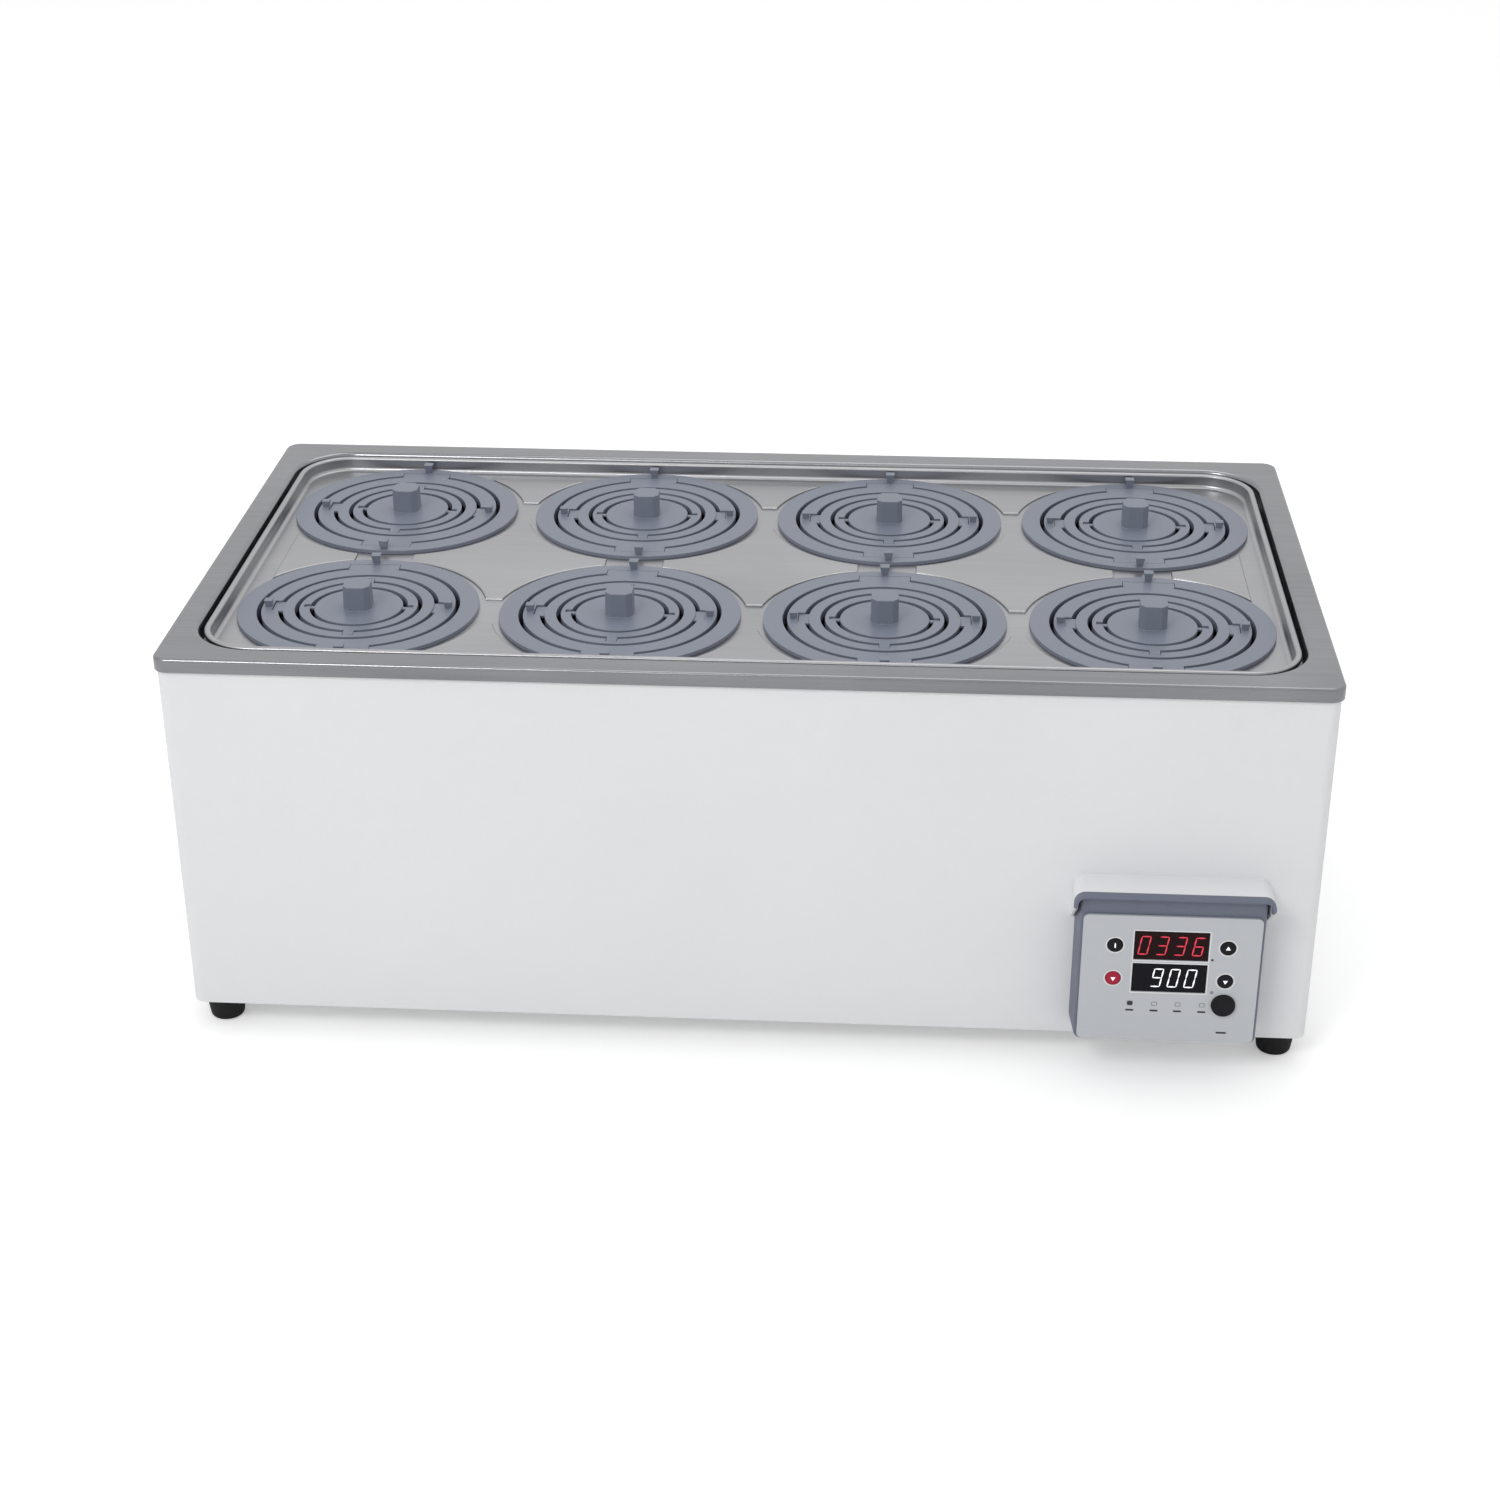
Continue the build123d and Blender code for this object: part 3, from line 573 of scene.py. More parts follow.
@dataclass
class Assembly:
    """Steps that every sub-assembly shares."""

    materials: dict[str, bpy.types.Material]

    def place(self, bm: BMesh, name: str, finish: Finish, body: str,
              nodes: Sequence[str] = (), move: Matrix | None = None, sheet: float = 0.0,
              edge: float = 0.0) -> bpy.types.Object:
        """Turns a mesh in millimetres into a piece that rides on a body.

        Args:
            bm: Finished bmesh, freed afterwards.
            name: Name of the piece.
            finish: Its finish.
            body: Body that it moves with.
            nodes: CAD nodes that it stands for.
            move: Placing in the bath's frame.
            sheet: Thickness that a sheet gets behind its faces.
            edge: Radius of the rounded edges of a sheet.

        Returns:
            The placed piece.
        """
        bm = in_order(bm)
        if move is not None:
            bmesh.ops.transform(bm, matrix=move, verts=bm.verts)
        shift(bm, 0.0, ORIGIN_SHIFT, 0.0)
        bmesh.ops.scale(bm, vec=(MM, MM, MM), verts=bm.verts)
        for face in bm.faces:
            face.smooth = True
        for rim in bm.edges:
            rim.smooth = len(rim.link_faces) != 2 or rim.calc_face_angle() < SHARP
        piece = as_object(bm, name)
        piece.data.materials.append(self.materials[finish.name])
        if sheet:
            wall = piece.modifiers.new("sheet", "SOLIDIFY")
            wall.thickness = sheet * MM
            wall.offset = -1.0
            wall.use_even_offset = True
        if edge:
            rounded = piece.modifiers.new("edges", "BEVEL")
            rounded.width = edge * MM
            rounded.segments = 3
            rounded.limit_method = "ANGLE"
            rounded.angle_limit = SHARP
        shade = piece.modifiers.new("shade", "WEIGHTED_NORMAL")
        shade.keep_sharp = True
        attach(piece, body)
        if nodes:
            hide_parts(*nodes)
        LOG.info("%s rides on %s", name, body)
        return piece

    def dress(self, node: str, finish: Finish) -> None:
        """Gives a kept CAD node its finish.

        Args:
            node: Name of the node.
            finish: Its finish.
        """
        for holder in frame["nodes"][node].material_slots:
            holder.material = self.materials[finish.name]
        LOG.info("%s keeps its solid", node)


@dataclass
class Cabinet(Assembly):
    """White case, base plate and rubber feet."""

    height: float = 206.0
    sheet: float = 1.2
    opening: Pair = (28.4, 20.4)
    foot_places: Pair = (287.0, 144.0)
    foot_section: tuple[Pair, ...] = ((0.0, 0.0), (9.0, 0.0), (10.6, 11.5), (10.6, 15.0),
                                      (0.0, 15.0))
    foot_edge: float = 1.7

    def build(self) -> None:
        """Builds the case and feet."""
        outer = (CASE_LENGTH, CASE_DEPTH, CASE_CORNER)
        inner = (CASE_LENGTH - 2 * self.sheet, CASE_DEPTH - 2 * self.sheet,
                 CASE_CORNER - self.sheet)
        top = CASE_FLOOR + self.height
        bm, _ = stack([Outline(*outer, CASE_FLOOR), Outline(*outer, top),
                       Outline(*inner, top), Outline(*inner, CASE_FLOOR)])
        low = [e for e in bm.edges if len(e.link_faces) == 1]
        bmesh.ops.bridge_loops(bm, edges=low)
        face_out(bm)
        hole = bmesh.new()
        block(hole, (self.opening[0], 6.0, self.opening[1]),
              (INLET_PLACE[0], CASE_DEPTH / 2, INLET_PLACE[1]))
        bm = combine(bm, [(Join.CUT, hole)])
        soften_sharp(bm, 0.35, 2, 60.0)
        self.place(bm, "case_walls", ENAMEL, "bath", ["case_shell"])

        bm = bmesh.new()
        for x in (-self.foot_places[0], self.foot_places[0]):
            for y in (-self.foot_places[1], self.foot_places[1]):
                foot = turned(self.foot_section, 48, closed=False)
                soften_sharp(foot, self.foot_edge, 4, 40.0)
                merge(bm, shift(foot, x, y, 0.0))
        self.place(bm, "rubber_feet", RUBBER, "bath", ["feet"])
        self.dress("base_plate", ENAMEL)
        self.dress("insulation", WOOL)


@dataclass
class Tank(Assembly):
    """Pressed stainless tank with its fittings."""

    rim: Triple = (606.0, 320.0, 8.0)
    mouth: Triple = (577.0, 288.0, 32.0)
    well: Triple = (557.0, 268.0, 22.0)
    floor: float = 72.5
    skirt: float = 7.5
    bends: tuple[float, ...] = (1.5, 2.5, 1.5, 1.5, 10.0)
    sheet: float = 1.2

    def build(self) -> None:
        """Builds the tank and dresses what stands in it."""
        bm, loops = stack([Outline(*self.rim, RIM_TOP - self.skirt), Outline(*self.rim, RIM_TOP),
                           Outline(*self.mouth, RIM_TOP), Outline(*self.mouth, LEDGE_TOP),
                           Outline(*self.well, LEDGE_TOP), Outline(*self.well, self.floor)],
                          steps=12, close_last=True)
        for loop, radius in zip(loops[1:], self.bends):
            soften(bm, loop, radius, 5)
        face_up(bm)
        self.place(bm, "pressed_tank", STAINLESS, "bath", ["tank"], sheet=self.sheet)
        for node in ("heater", "temperature_probe"):
            self.dress(node, HEATER)
        self.dress("shelf_plate", LID_STEEL)


@dataclass
class LidPlate(Assembly):
    """Tray-shaped lid plate with eight holes and raised panels."""

    length: float = 572.0
    depth: float = 283.0
    corner: float = 29.5
    lip_top: float = 221.7
    bead: Triple = (3.5, 3.0, 1.4)
    sheet: float = 1.0
    bend: float = 2.6
    hole_radius: float = 60.0
    panel_radius: float = 68.5
    panel_reach: float = 55.0
    panel_margin: float = 13.0
    panel_rise: float = 1.2
    panel_edge: float = 0.9

    def build(self) -> None:
        """Builds the lid plate."""
        step = self.bead[0] - self.sheet
        inner = (self.length - 2 * self.bead[0], self.depth - 2 * self.bead[0])
        under = (self.length - 2 * step, self.depth - 2 * step, self.corner - step)
        outer = (self.length, self.depth, self.corner)
        tray = (*inner, self.corner - self.bead[0])
        low, high = self.lip_top - self.bead[1], self.lip_top
        bm, loops = stack([Outline(*under, LEDGE_TOP), Outline(*under, low), Outline(*outer, low),
                           Outline(*outer, high), Outline(*tray, high), Outline(*tray, LID_TOP)],
                          steps=12, close_first=True, close_last=True)
        for loop, radius in ((loops[0], 1.2), (loops[3], self.bead[2]), (loops[4], self.bead[2]),
                             (loops[5], self.bend)):
            soften(bm, loop, radius, 5)
        face_out(bm)
        bm = combine(bm, [(Join.ADD, self.panels(inner)), (Join.CUT, self.holes())])
        self.place(bm, "lid_tray", LID_STEEL, "lid", ["lid_plate"])

    def discs(self, radius: float, low: float, high: float) -> BMesh:
        """Makes one disc over each hole.

        Args:
            radius: Radius of the discs.
            low: Height of their undersides.
            high: Height of their tops.

        Returns:
            A mesh with the discs.
        """
        bm = bmesh.new()
        for x, y in hole_places():
            merge(bm, shift(disc(radius, low, high, 96), x, y, 0.0))
        return bm

    def holes(self) -> BMesh:
        """Returns the cutters of the eight holes."""
        return self.discs(self.hole_radius, LEDGE_TOP - 2.0, LID_TOP + 4.0)

    def panels(self, inner: Pair) -> BMesh:
        """Makes the panels that stand up between the holes.

        Args:
            inner: Length and depth inside the tray's wall.

        Returns:
            A mesh with the panels.
        """
        limit = [size / 2 - self.panel_margin for size in inner]
        bm = bmesh.new()
        for column in range(-2, 3):
            for row in (-1, 0, 1):
                if abs(column) == 2 and row:
                    continue
                x, y = column * HOLE_PITCH[0], row * HOLE_PITCH[1]
                low = (max(x - self.panel_reach, -limit[0]), max(y - self.panel_reach, -limit[1]))
                high = (min(x + self.panel_reach, limit[0]), min(y + self.panel_reach, limit[1]))
                block(bm, (high[0] - low[0], high[1] - low[1], self.panel_rise + 0.5),
                      ((low[0] + high[0]) / 2, (low[1] + high[1]) / 2,
                       LID_TOP + (self.panel_rise - 0.5) / 2))
        bm = combine(bm, [(Join.CUT, self.discs(self.panel_radius, LID_TOP - 3.0, LID_TOP + 4.0))])
        top = LID_TOP + self.panel_rise
        edges = [e for e in bm.edges if all(abs(v.co.z - top) < 0.01 for v in e.verts)
                 and e.calc_face_angle(0.0) > math.radians(60)]
        soften(bm, edges, self.panel_edge, 3)
        return bm


def hole_places() -> list[Pair]:
    """Returns the middles of the holes, the front row first, from left to right."""
    return [((column - 1.5) * HOLE_PITCH[0], (row - 0.5) * HOLE_PITCH[1])
            for row in range(2) for column in range(4)]


def merge(target: BMesh, other: BMesh) -> None:
    """Adds a mesh to another and frees it.

    Args:
        target: Mesh that takes it in.
        other: Mesh to add.
    """
    mesh = bpy.data.meshes.new("work_merge")
    other.to_mesh(mesh)
    other.free()
    target.from_mesh(mesh)
    bpy.data.meshes.remove(mesh)


@dataclass
class Covers(Assembly):
    """Eight covers, each of four nested rings and a cap with a knob."""

    bores: tuple[float, ...] = (109.005, 85.995, 68.51, 52.52)
    diameter: float = 130.0
    slot: float = 2.4
    ring_height: float = 5.0
    spigot: Pair = (119.0, 7.0)
    ear_widths: tuple[float, ...] = (28.0, 12.0, 5.5, 3.0)
    ear_drops: tuple[float, ...] = (0.0, 0.8, 0.0, 0.8)
    ear_height: float = 1.2
    ear_reach: float = 3.0
    ear_gap: float = 0.3
    pip_width: float = 3.2
    pip_heights: Pair = (5.0, 3.5)
    pip_offset: float = 1.1
    pip_flare: float = math.tan(math.radians(12.0))
    cap_height: float = 3.0
    knob: Triple = (15.0, 3.0, 13.5)
    turns: tuple[float, ...] = (2.0, -1.0, 1.0, -2.0, -2.0, 1.5, 0.5, -1.0)
    edge: float = 0.28
    ear_edge: float = 0.12

    def radius(self, index: int) -> float:
        """Returns the outer radius of the piece in the bore before this index."""
        return self.diameter / 2 if index == 0 else self.bores[index - 1] / 2 - self.slot

    def bars(self, index: int, near: float, far: float, low: float, high: float,
             grow: float = 0.0) -> BMesh:
        """Makes the two bars of a pair of ears or pockets.

        Args:
            index: Index of the bore that they bridge.
            near: Radius at which they start.
            far: Radius at which they end.
            low: Height of their undersides.
            high: Height of their tops.
            grow: Extra width on each side.

        Returns:
            A mesh with both bars.
        """
        bm = bmesh.new()
        for side in (-1, 1):
            block(bm, (self.ear_widths[index] + 2 * grow, far - near, high - low),
                  (0.0, side * (near + far) / 2, (low + high) / 2))
        if not grow:
            soften_sharp(bm, self.ear_edge, 2)
        turn_flat(bm, math.pi / 2 * (index % 2), bm.verts)
        return bm

    def ears(self, index: int) -> BMesh:
        """Makes the ears of the piece that hangs in a bore.

        Args:
            index: Index of the bore.

        Returns:
            A mesh with both ears.
        """
        top = COVER_TOP - self.ear_drops[index]
        near, far = self.radius(index + 1) - 1.5, self.bores[index] / 2 + self.ear_reach
        return self.bars(index, near, far, top - self.ear_height, top)

    def pockets(self, index: int) -> BMesh:
        """Makes the cutters of the pockets in a ring.

        Args:
            index: Index of the ring's bore.

        Returns:
            A mesh with both cutters.
        """
        floor = COVER_TOP - self.ear_drops[index] - self.ear_height - self.ear_gap
        return self.bars(index, self.bores[index] / 2 - 2.0,
                         self.bores[index] / 2 + self.ear_reach + self.ear_gap, floor,
                         COVER_TOP + 1.0, self.ear_gap)

    def pips(self, index: int) -> BMesh:
        """Makes the two flared pips of a ring.

        Args:
            index: Index of the ring's bore.

        Returns:
            A mesh with both pips.
        """
        middle = (self.radius(index) + self.bores[index] / 2) / 2 + self.pip_offset
        height = self.pip_heights[index]
        sunk = 0.3
        taper = (self.pip_width + 2 * height * self.pip_flare) / self.pip_width
        bm = bmesh.new()
        for side in (-1, 1):
            block(bm, (self.pip_width, self.pip_width, height + sunk),
                  (0.0, side * middle, COVER_TOP + (height - sunk) / 2), taper)
        soften_sharp(bm, self.edge, 2)
        turn_flat(bm, math.pi / 2 * (index % 2), bm.verts)
        return bm

    def ring(self, index: int) -> BMesh:
        """Builds a ring.

        Args:
            index: Index of its bore, 0 for the outermost ring.

        Returns:
            The ring about the Z axis.
        """
        bore, outer = self.bores[index] / 2, self.radius(index)
        low = COVER_TOP - self.ring_height
        section = [(bore, low), (outer, low), (outer, COVER_TOP), (bore, COVER_TOP)]
        if index == 0:
            foot, seat = LID_TOP - self.spigot[1], self.spigot[0] / 2
            section = [(bore, foot), (seat, foot), (seat, LID_TOP), (outer, LID_TOP),
                       (outer, COVER_TOP), (bore, COVER_TOP)]
        bm = turned(rounded(section, self.edge), 128)
        tools = [(Join.CUT, self.pockets(index))]
        if index:
            tools.append((Join.ADD, self.ears(index - 1)))
        if index < len(self.pip_heights):
            tools.append((Join.ADD, self.pips(index)))
        return combine(bm, tools)

    def cap(self) -> BMesh:
        """Returns the cap with its knob, about the Z axis."""
        last = len(self.bores)
        low, radius = COVER_TOP - self.cap_height, self.radius(last)
        bm = disc(radius, low, COVER_TOP, 96)
        width, corner, height = self.knob
        narrow = width - 2 * height * math.tan(math.radians(1.0))
        knob, _ = stack([Outline(width, width, corner, COVER_TOP - 0.5),
                         Outline(narrow, narrow, corner, COVER_TOP + height)],
                        steps=1, close_first=True, close_last=True)
        face_out(knob)
        bm = combine(bm, [(Join.ADD, self.ears(last - 1)), (Join.ADD, knob)])
        soften_sharp(bm, 0.45, 2, 30.0)
        return bm

    def build(self) -> None:
        """Builds the pieces of one cover and sets them on the eight holes."""
        pieces = {f"ring_{len(self.bores) - index}": self.ring(index)
                  for index in range(len(self.bores))}
        pieces["cap"] = self.cap()
        for number, ((x, y), turn) in enumerate(zip(hole_places(), self.turns), start=1):
            move = Matrix.Translation((x, y, 0.0)) @ Matrix.Rotation(math.radians(turn), 4, "Z")
            for name, shape in pieces.items():
                node = f"cover_{number}_{name}"
                self.place(shape.copy(), f"{node}_moulding", COVER, node, [node], move=move)
        for shape in pieces.values():
            shape.free()


@dataclass
class ControlBox(Assembly):
    """Control box on the front, with its hood, panel, displays and buttons."""

    fascia: Triple = (92.0, 75.5, 3.0)
    back: float = 19.4
    front: float = 21.0
    border: float = 1.4
    top_border: float = 10.5
    frame: float = 4.0
    housing_corner: float = 4.0
    draft: float = math.tan(math.radians(5.0))
    hood: Triple = (103.0, 32.0, 6.0)
    hood_reach: float = 24.0
    hood_wall: float = 2.3
    arch_back: float = 19.0
    arch_edge: float = 1.1
    roof_inset: float = 0.4
    hood_front_drop: float = 7.0
    hood_back_drop: float = 26.0
    display: Pair = (38.5, 17.2)
    display_front: float = 20.7
    display_play: float = 0.3
    display_depth: float = 6.7
    display_places: dict[str, Pair] = field(
        default_factory=lambda: {"upper": (0.0, 20.2), "lower": (0.0, 0.8)})
    button_back: float = 18.5
    button_play: float = 0.15
    flange: Pair = (1.0, 0.8)
    symbol_face: float = 21.58
    start_mark: Triple = (0.7, 2.7, 0.2)
    arrow_radius: float = 1.45
    buttons: dict[str, Pair] = field(default_factory=lambda: {
        "start_button": (-29.0, 20.0), "stop_button": (-29.0, 0.0),
        "up_button": (29.0, 20.0), "down_button": (29.0, 0.0)})
    power_place: Pair = (29.0, -14.5)
    small_bore: float = 4.1
    small_face: float = 21.6
    power_bore: float = 6.3
    power_face: float = 22.8
    lamp_places: tuple[float, ...] = (-6.7, 5.5, 18.1)
    lit_place: float = -19.3
    lamp_height: float = -15.0
    label_height: float = -19.2
    label_size: Pair = (4.2, 1.1)
    lit_mark: Triple = (3.0, 2.8, 0.8)
    lamp_mark: Triple = (3.0, 2.6, 0.7)
    lamp_line: float = 0.4
    window_grow: float = 1.5
    window_corner: float = 0.6
    window_line: float = 0.55
    bore_line: Pair = (0.2, 0.85)
    power_bar: tuple[Pair, Pair] = ((29.2, -31.6), (5.4, 1.1))
    dark_dot: tuple[Pair, float] = ((21.4, 12.7), 0.7)
    grey_dot: tuple[Pair, float] = ((22.6, -7.0), 0.95)
    digit: Triple = (4.6, 10.6, 0.85)
    slant: float = math.tan(math.radians(9.0))
    readings: dict[str, tuple[str, float, float, Finish]] = field(default_factory=lambda: {
        "upper": ("0336", -13.9, 9.3, LIT_RED), "lower": ("900", -6.2, 8.6, LIT_WHITE)})
    segments: dict[str, str] = field(default_factory=lambda: {
        "0": "abcdef", "3": "abgcd", "6": "afgedc", "9": "abcdfg"})

    @property
    def move(self) -> Matrix:
        """Placing of the front plane, its Z pointing out of the case."""
        return (Matrix.Translation((CONTROL_PLACE[0], -CASE_DEPTH / 2, CONTROL_PLACE[1]))
                @ Matrix.Rotation(math.pi / 2, 4, "X"))

    def build(self) -> None:
        """Builds the box from the back to the front."""
        self.build_housing()
        self.build_hood()
        self.build_fascia()
        self.build_displays()
        self.build_prints()
        for name, place in self.buttons.items():
            finish = RED if name == "stop_button" else BLACK
            self.build_button(name, place, self.small_bore, self.small_face, finish)
        self.build_button("power_button", self.power_place, self.power_bore, self.power_face, BLACK)
        self.build_symbols()
        self.dress("control_board", BOARD)

    def build_housing(self) -> None:
        """Builds the drafted housing."""
        length = self.fascia[0] + 2 * self.border
        height = self.fascia[1] + self.border + self.top_border
        centre = (0.0, (self.top_border - self.border) / 2)
        grow = self.back * self.draft
        bm, loops = stack([Outline(length + 2 * grow, height + 2 * grow,
                                   self.housing_corner + grow, 0.0, centre),
                           Outline(length, height, self.housing_corner, self.back, centre),
                           Outline(self.fascia[0] - 2 * self.frame, self.fascia[1] - 2 * self.frame,
                                   self.fascia[2], self.back)])
        soften(bm, loops[1], 1.2, 4)
        face_up(bm)
        self.place(bm, "control_box_housing", HOUSING, "bath", ["control_housing"], self.move,
                   sheet=1.0)

    def build_hood(self) -> None:
        """Builds the plastic arch of the hood and the coated sheet behind it."""
        self.build_arch("control_box_hood", HOUSING, self.arch_back, self.hood_reach, 0.0,
                        self.arch_edge)
        self.build_arch("control_box_roof", ENAMEL, 0.0, self.arch_back, self.roof_inset,
                        0.0)

    def build_arch(self, name: str, finish: Finish, near: float, far: float, inset: float,
                   edge: float) -> None:
        """Builds a length of the hood with its slanted cheeks.

        Args:
            name: Name of the piece.
            finish: Its finish.
            near: Reach at which it starts.
            far: Reach at which it ends.
            inset: How far it stays inside the hood's outline.
            edge: Radius of its edges.
        """
        length, depth, corner = self.hood
        top = self.fascia[1] / 2 + self.top_border + self.hood_wall
        size = (length - 2 * inset, depth - 2 * inset, corner - inset)
        centre = (0.0, top - depth / 2)
        bm, _ = stack([Outline(*size, near, centre), Outline(*size, far, centre)])
        low = Vector((0.0, top - self.hood_back_drop, 0.0))
        high = Vector((0.0, top - self.hood_front_drop, self.hood_reach))
        across = (high - low).cross(Vector((1.0, 0.0, 0.0)))
        if across.y > 0:
            across.negate()
        bmesh.ops.bisect_plane(bm, geom=bm.verts[:] + bm.edges[:] + bm.faces[:], plane_co=low,
                               plane_no=across, clear_outer=True)
        bmesh.ops.remove_doubles(bm, verts=bm.verts, dist=0.02)
        face_out(bm)
        roof = max(bm.faces, key=lambda f: f.calc_center_median().y)
        if roof.normal.y < 0:
            bmesh.ops.reverse_faces(bm, faces=bm.faces)
        self.place(bm, name, finish, "bath", move=self.move, sheet=self.hood_wall - inset,
                   edge=edge)

    def build_fascia(self) -> None:
        """Builds the panel with its windows and button holes."""
        bm, _ = stack([Outline(*self.fascia, self.back), Outline(*self.fascia, self.front)],
                      close_first=True, close_last=True)
        face_out(bm)
        cutters = bmesh.new()
        for x, y in self.display_places.values():
            block(cutters, (*self.display, 6.0), (x, y, self.front))
        holes = bmesh.new()
        bores = [(place, self.small_bore) for place in self.buttons.values()]
        for (x, y), radius in (*bores, (self.power_place, self.power_bore)):
            merge(holes, shift(disc(radius, self.front - 6.0, self.front + 4.0, 64), x, y, 0.0))
        bm = combine(bm, [(Join.CUT, cutters), (Join.CUT, holes)])
        soften_sharp(bm, 0.25, 2, 60.0)
        self.place(bm, "control_panel", FASCIA, "bath", ["control_fascia"], self.move)

    def build_displays(self) -> None:
        """Builds the two windows and their lit digits."""
        for level, (x, y) in self.display_places.items():
            bm = bmesh.new()
            length, height = (size - self.display_play for size in self.display)
            block(bm, (length, height, self.display_depth),
                  (x, y, self.display_front - self.display_depth / 2))
            soften_sharp(bm, 0.2, 2, 60.0)
            upper = level == "upper"
            self.place(bm, f"display_{level}", WINDOW_RED if upper else WINDOW, "bath",
                       ["displays"], self.move)
        for level, (text, start, pitch, finish) in self.readings.items():
            bm = bmesh.new()
            for position, figure in enumerate(text):
                self.draw_digit(bm, figure, start + position * pitch, self.display_places[level][1])
            self.place(bm, f"digits_{level}", finish, "bath", move=self.move)

    def draw_digit(self, bm: BMesh, figure: str, x: float, y: float) -> None:
        """Draws one figure from slanted segments.

        Args:
            bm: Mesh to draw in.
            figure: The figure.
            x: Middle of the figure, across.
            y: Middle of the figure, up.
        """
        wide, tall, thick = self.digit
        half = tall / 2
        spots = {
            "a": (0.0, half, True), "g": (0.0, 0.0, True), "d": (0.0, -half, True),
            "f": (-wide / 2, half / 2, False), "b": (wide / 2, half / 2, False),
            "e": (-wide / 2, -half / 2, False), "c": (wide / 2, -half / 2, False),
        }
        slant = Matrix.Identity(4)
        slant[0][1] = self.slant
        for name in self.segments[figure]:
            px, py, flat = spots[name]
            span = (wide if flat else half) - thick - 0.15
            verts = bmesh.ops.create_circle(bm, cap_ends=True, segments=6,
                                            radius=thick / 2)["verts"]
            for side in (-1, 1):
                ends = [v for v in verts if v.co.x * side > 0.01]
                bmesh.ops.translate(bm, vec=(side * span / 2, 0.0, 0.0), verts=ends)
            if not flat:
                turn_flat(bm, math.pi / 2, verts)
            bmesh.ops.translate(bm, vec=(px, py, 0.0), verts=verts)
            bmesh.ops.transform(bm, matrix=slant, verts=verts)
            bmesh.ops.translate(bm, vec=(x, y, self.display_front), verts=verts)
            self.thicken(bm, verts)

    def thicken(self, bm: BMesh, verts: Iterable[BMVert]) -> None:
        """Gives a flat mark its thickness of ink.

        Args:
            bm: Mesh that holds the mark.
            verts: Vertices of the mark.
        """
        faces = dict.fromkeys(f for v in verts for f in v.link_faces)
        made = bmesh.ops.extrude_face_region(bm, geom=list(faces))["geom"]
        raised = [g for g in made if isinstance(g, BMVert)]
        bmesh.ops.translate(bm, vec=(0.0, 0.0, INK), verts=raised)
        face_out(bm)

    def build_prints(self) -> None:
        """Builds the white lines round the windows and buttons, and the small marks."""
        bm = bmesh.new()
        for place in self.display_places.values():
            self.draw_frame(bm, (self.display[0] + self.window_grow,
                                 self.display[1] + self.window_grow, self.window_corner), place,
                            self.window_line)
        near, far = (self.small_bore + reach for reach in self.bore_line)
        low, high = self.front - 0.02, self.front + INK
        for x, y in self.buttons.values():
            ring = turned(((near, low), (far, low), (far, high), (near, high)), 48)
            merge(bm, shift(ring, x, y, 0.0))
        self.place(bm, "panel_white_lines", WHITE_INK, "bath", move=self.move)

        bm = bmesh.new()
        self.draw_disc(bm, *self.dark_dot)
        for x in (self.lit_place, *self.lamp_places):
            self.draw_bar(bm, (x, self.label_height), self.label_size)
        self.draw_bar(bm, *self.power_bar)
        lit = Outline(*self.lit_mark, self.front, (self.lit_place, self.lamp_height)).fill(bm, 4)
        self.thicken(bm, lit.verts)
        self.place(bm, "panel_dark_marks", DARK_INK, "bath", move=self.move)

        bm = bmesh.new()
        self.draw_disc(bm, *self.grey_dot)
        for x in self.lamp_places:
            self.draw_frame(bm, self.lamp_mark, (x, self.lamp_height), self.lamp_line)
        self.place(bm, "panel_grey_marks", GREY_INK, "bath", move=self.move)

    def draw_frame(self, bm: BMesh, size: Triple, centre: Pair, line: float) -> None:
        """Draws a rounded frame on the panel.

        Args:
            bm: Mesh to draw in.
            size: Length, height and corner of the outer edge.
            centre: Middle of the frame.
            line: Width of the line.
        """
        face = Outline(*size, self.front, centre).fill(bm, 4)
        border = bmesh.ops.inset_region(bm, faces=[face], thickness=line, use_boundary=True,
                                        use_even_offset=True)["faces"]
        bmesh.ops.delete(bm, geom=[face], context="FACES_ONLY")
        self.thicken(bm, dict.fromkeys(v for f in border for v in f.verts))

    def draw_disc(self, bm: BMesh, centre: Pair, radius: float) -> None:
        """Draws a dot on the panel.

        Args:
            bm: Mesh to draw in.
            centre: Middle of the dot.
            radius: Its radius.
        """
        verts = bmesh.ops.create_circle(bm, cap_ends=True, segments=24, radius=radius)["verts"]
        bmesh.ops.translate(bm, vec=(*centre, self.front), verts=verts)
        self.thicken(bm, verts)

    def draw_bar(self, bm: BMesh, centre: Pair, size: Pair) -> None:
        """Draws a short bar on the panel.

        Args:
            bm: Mesh to draw in.
            centre: Middle of the bar.
            size: Its length and height.
        """
        self.thicken(bm, Outline(*size, size[1] * 0.3, self.front, centre).fill(bm, 3).verts)

    def build_button(self, name: str, place: Pair, bore: float, face: float,
                     finish: Finish) -> None:
        """Builds a button with its flange.

        Args:
            name: Name of its node and body.
            place: Middle of the button on the panel.
            bore: Radius of its hole.
            face: Reach of its front face.
            finish: Its finish.
        """
        radius, flange = bore - self.button_play, bore + self.flange[0]
        back, step = self.button_back, self.button_back + self.flange[1]
        bm = turned(((0.0, back), (flange, back), (flange, step), (radius, step),
                     (radius, face - 0.12), (radius * 0.75, face - 0.02), (0.0, face)), 64,
                    closed=False)
        soften_sharp(bm, 0.22, 3, 50.0)
        shift(bm, *place, 0.0)
        self.place(bm, f"{name}_key", finish, name, [name], self.move)

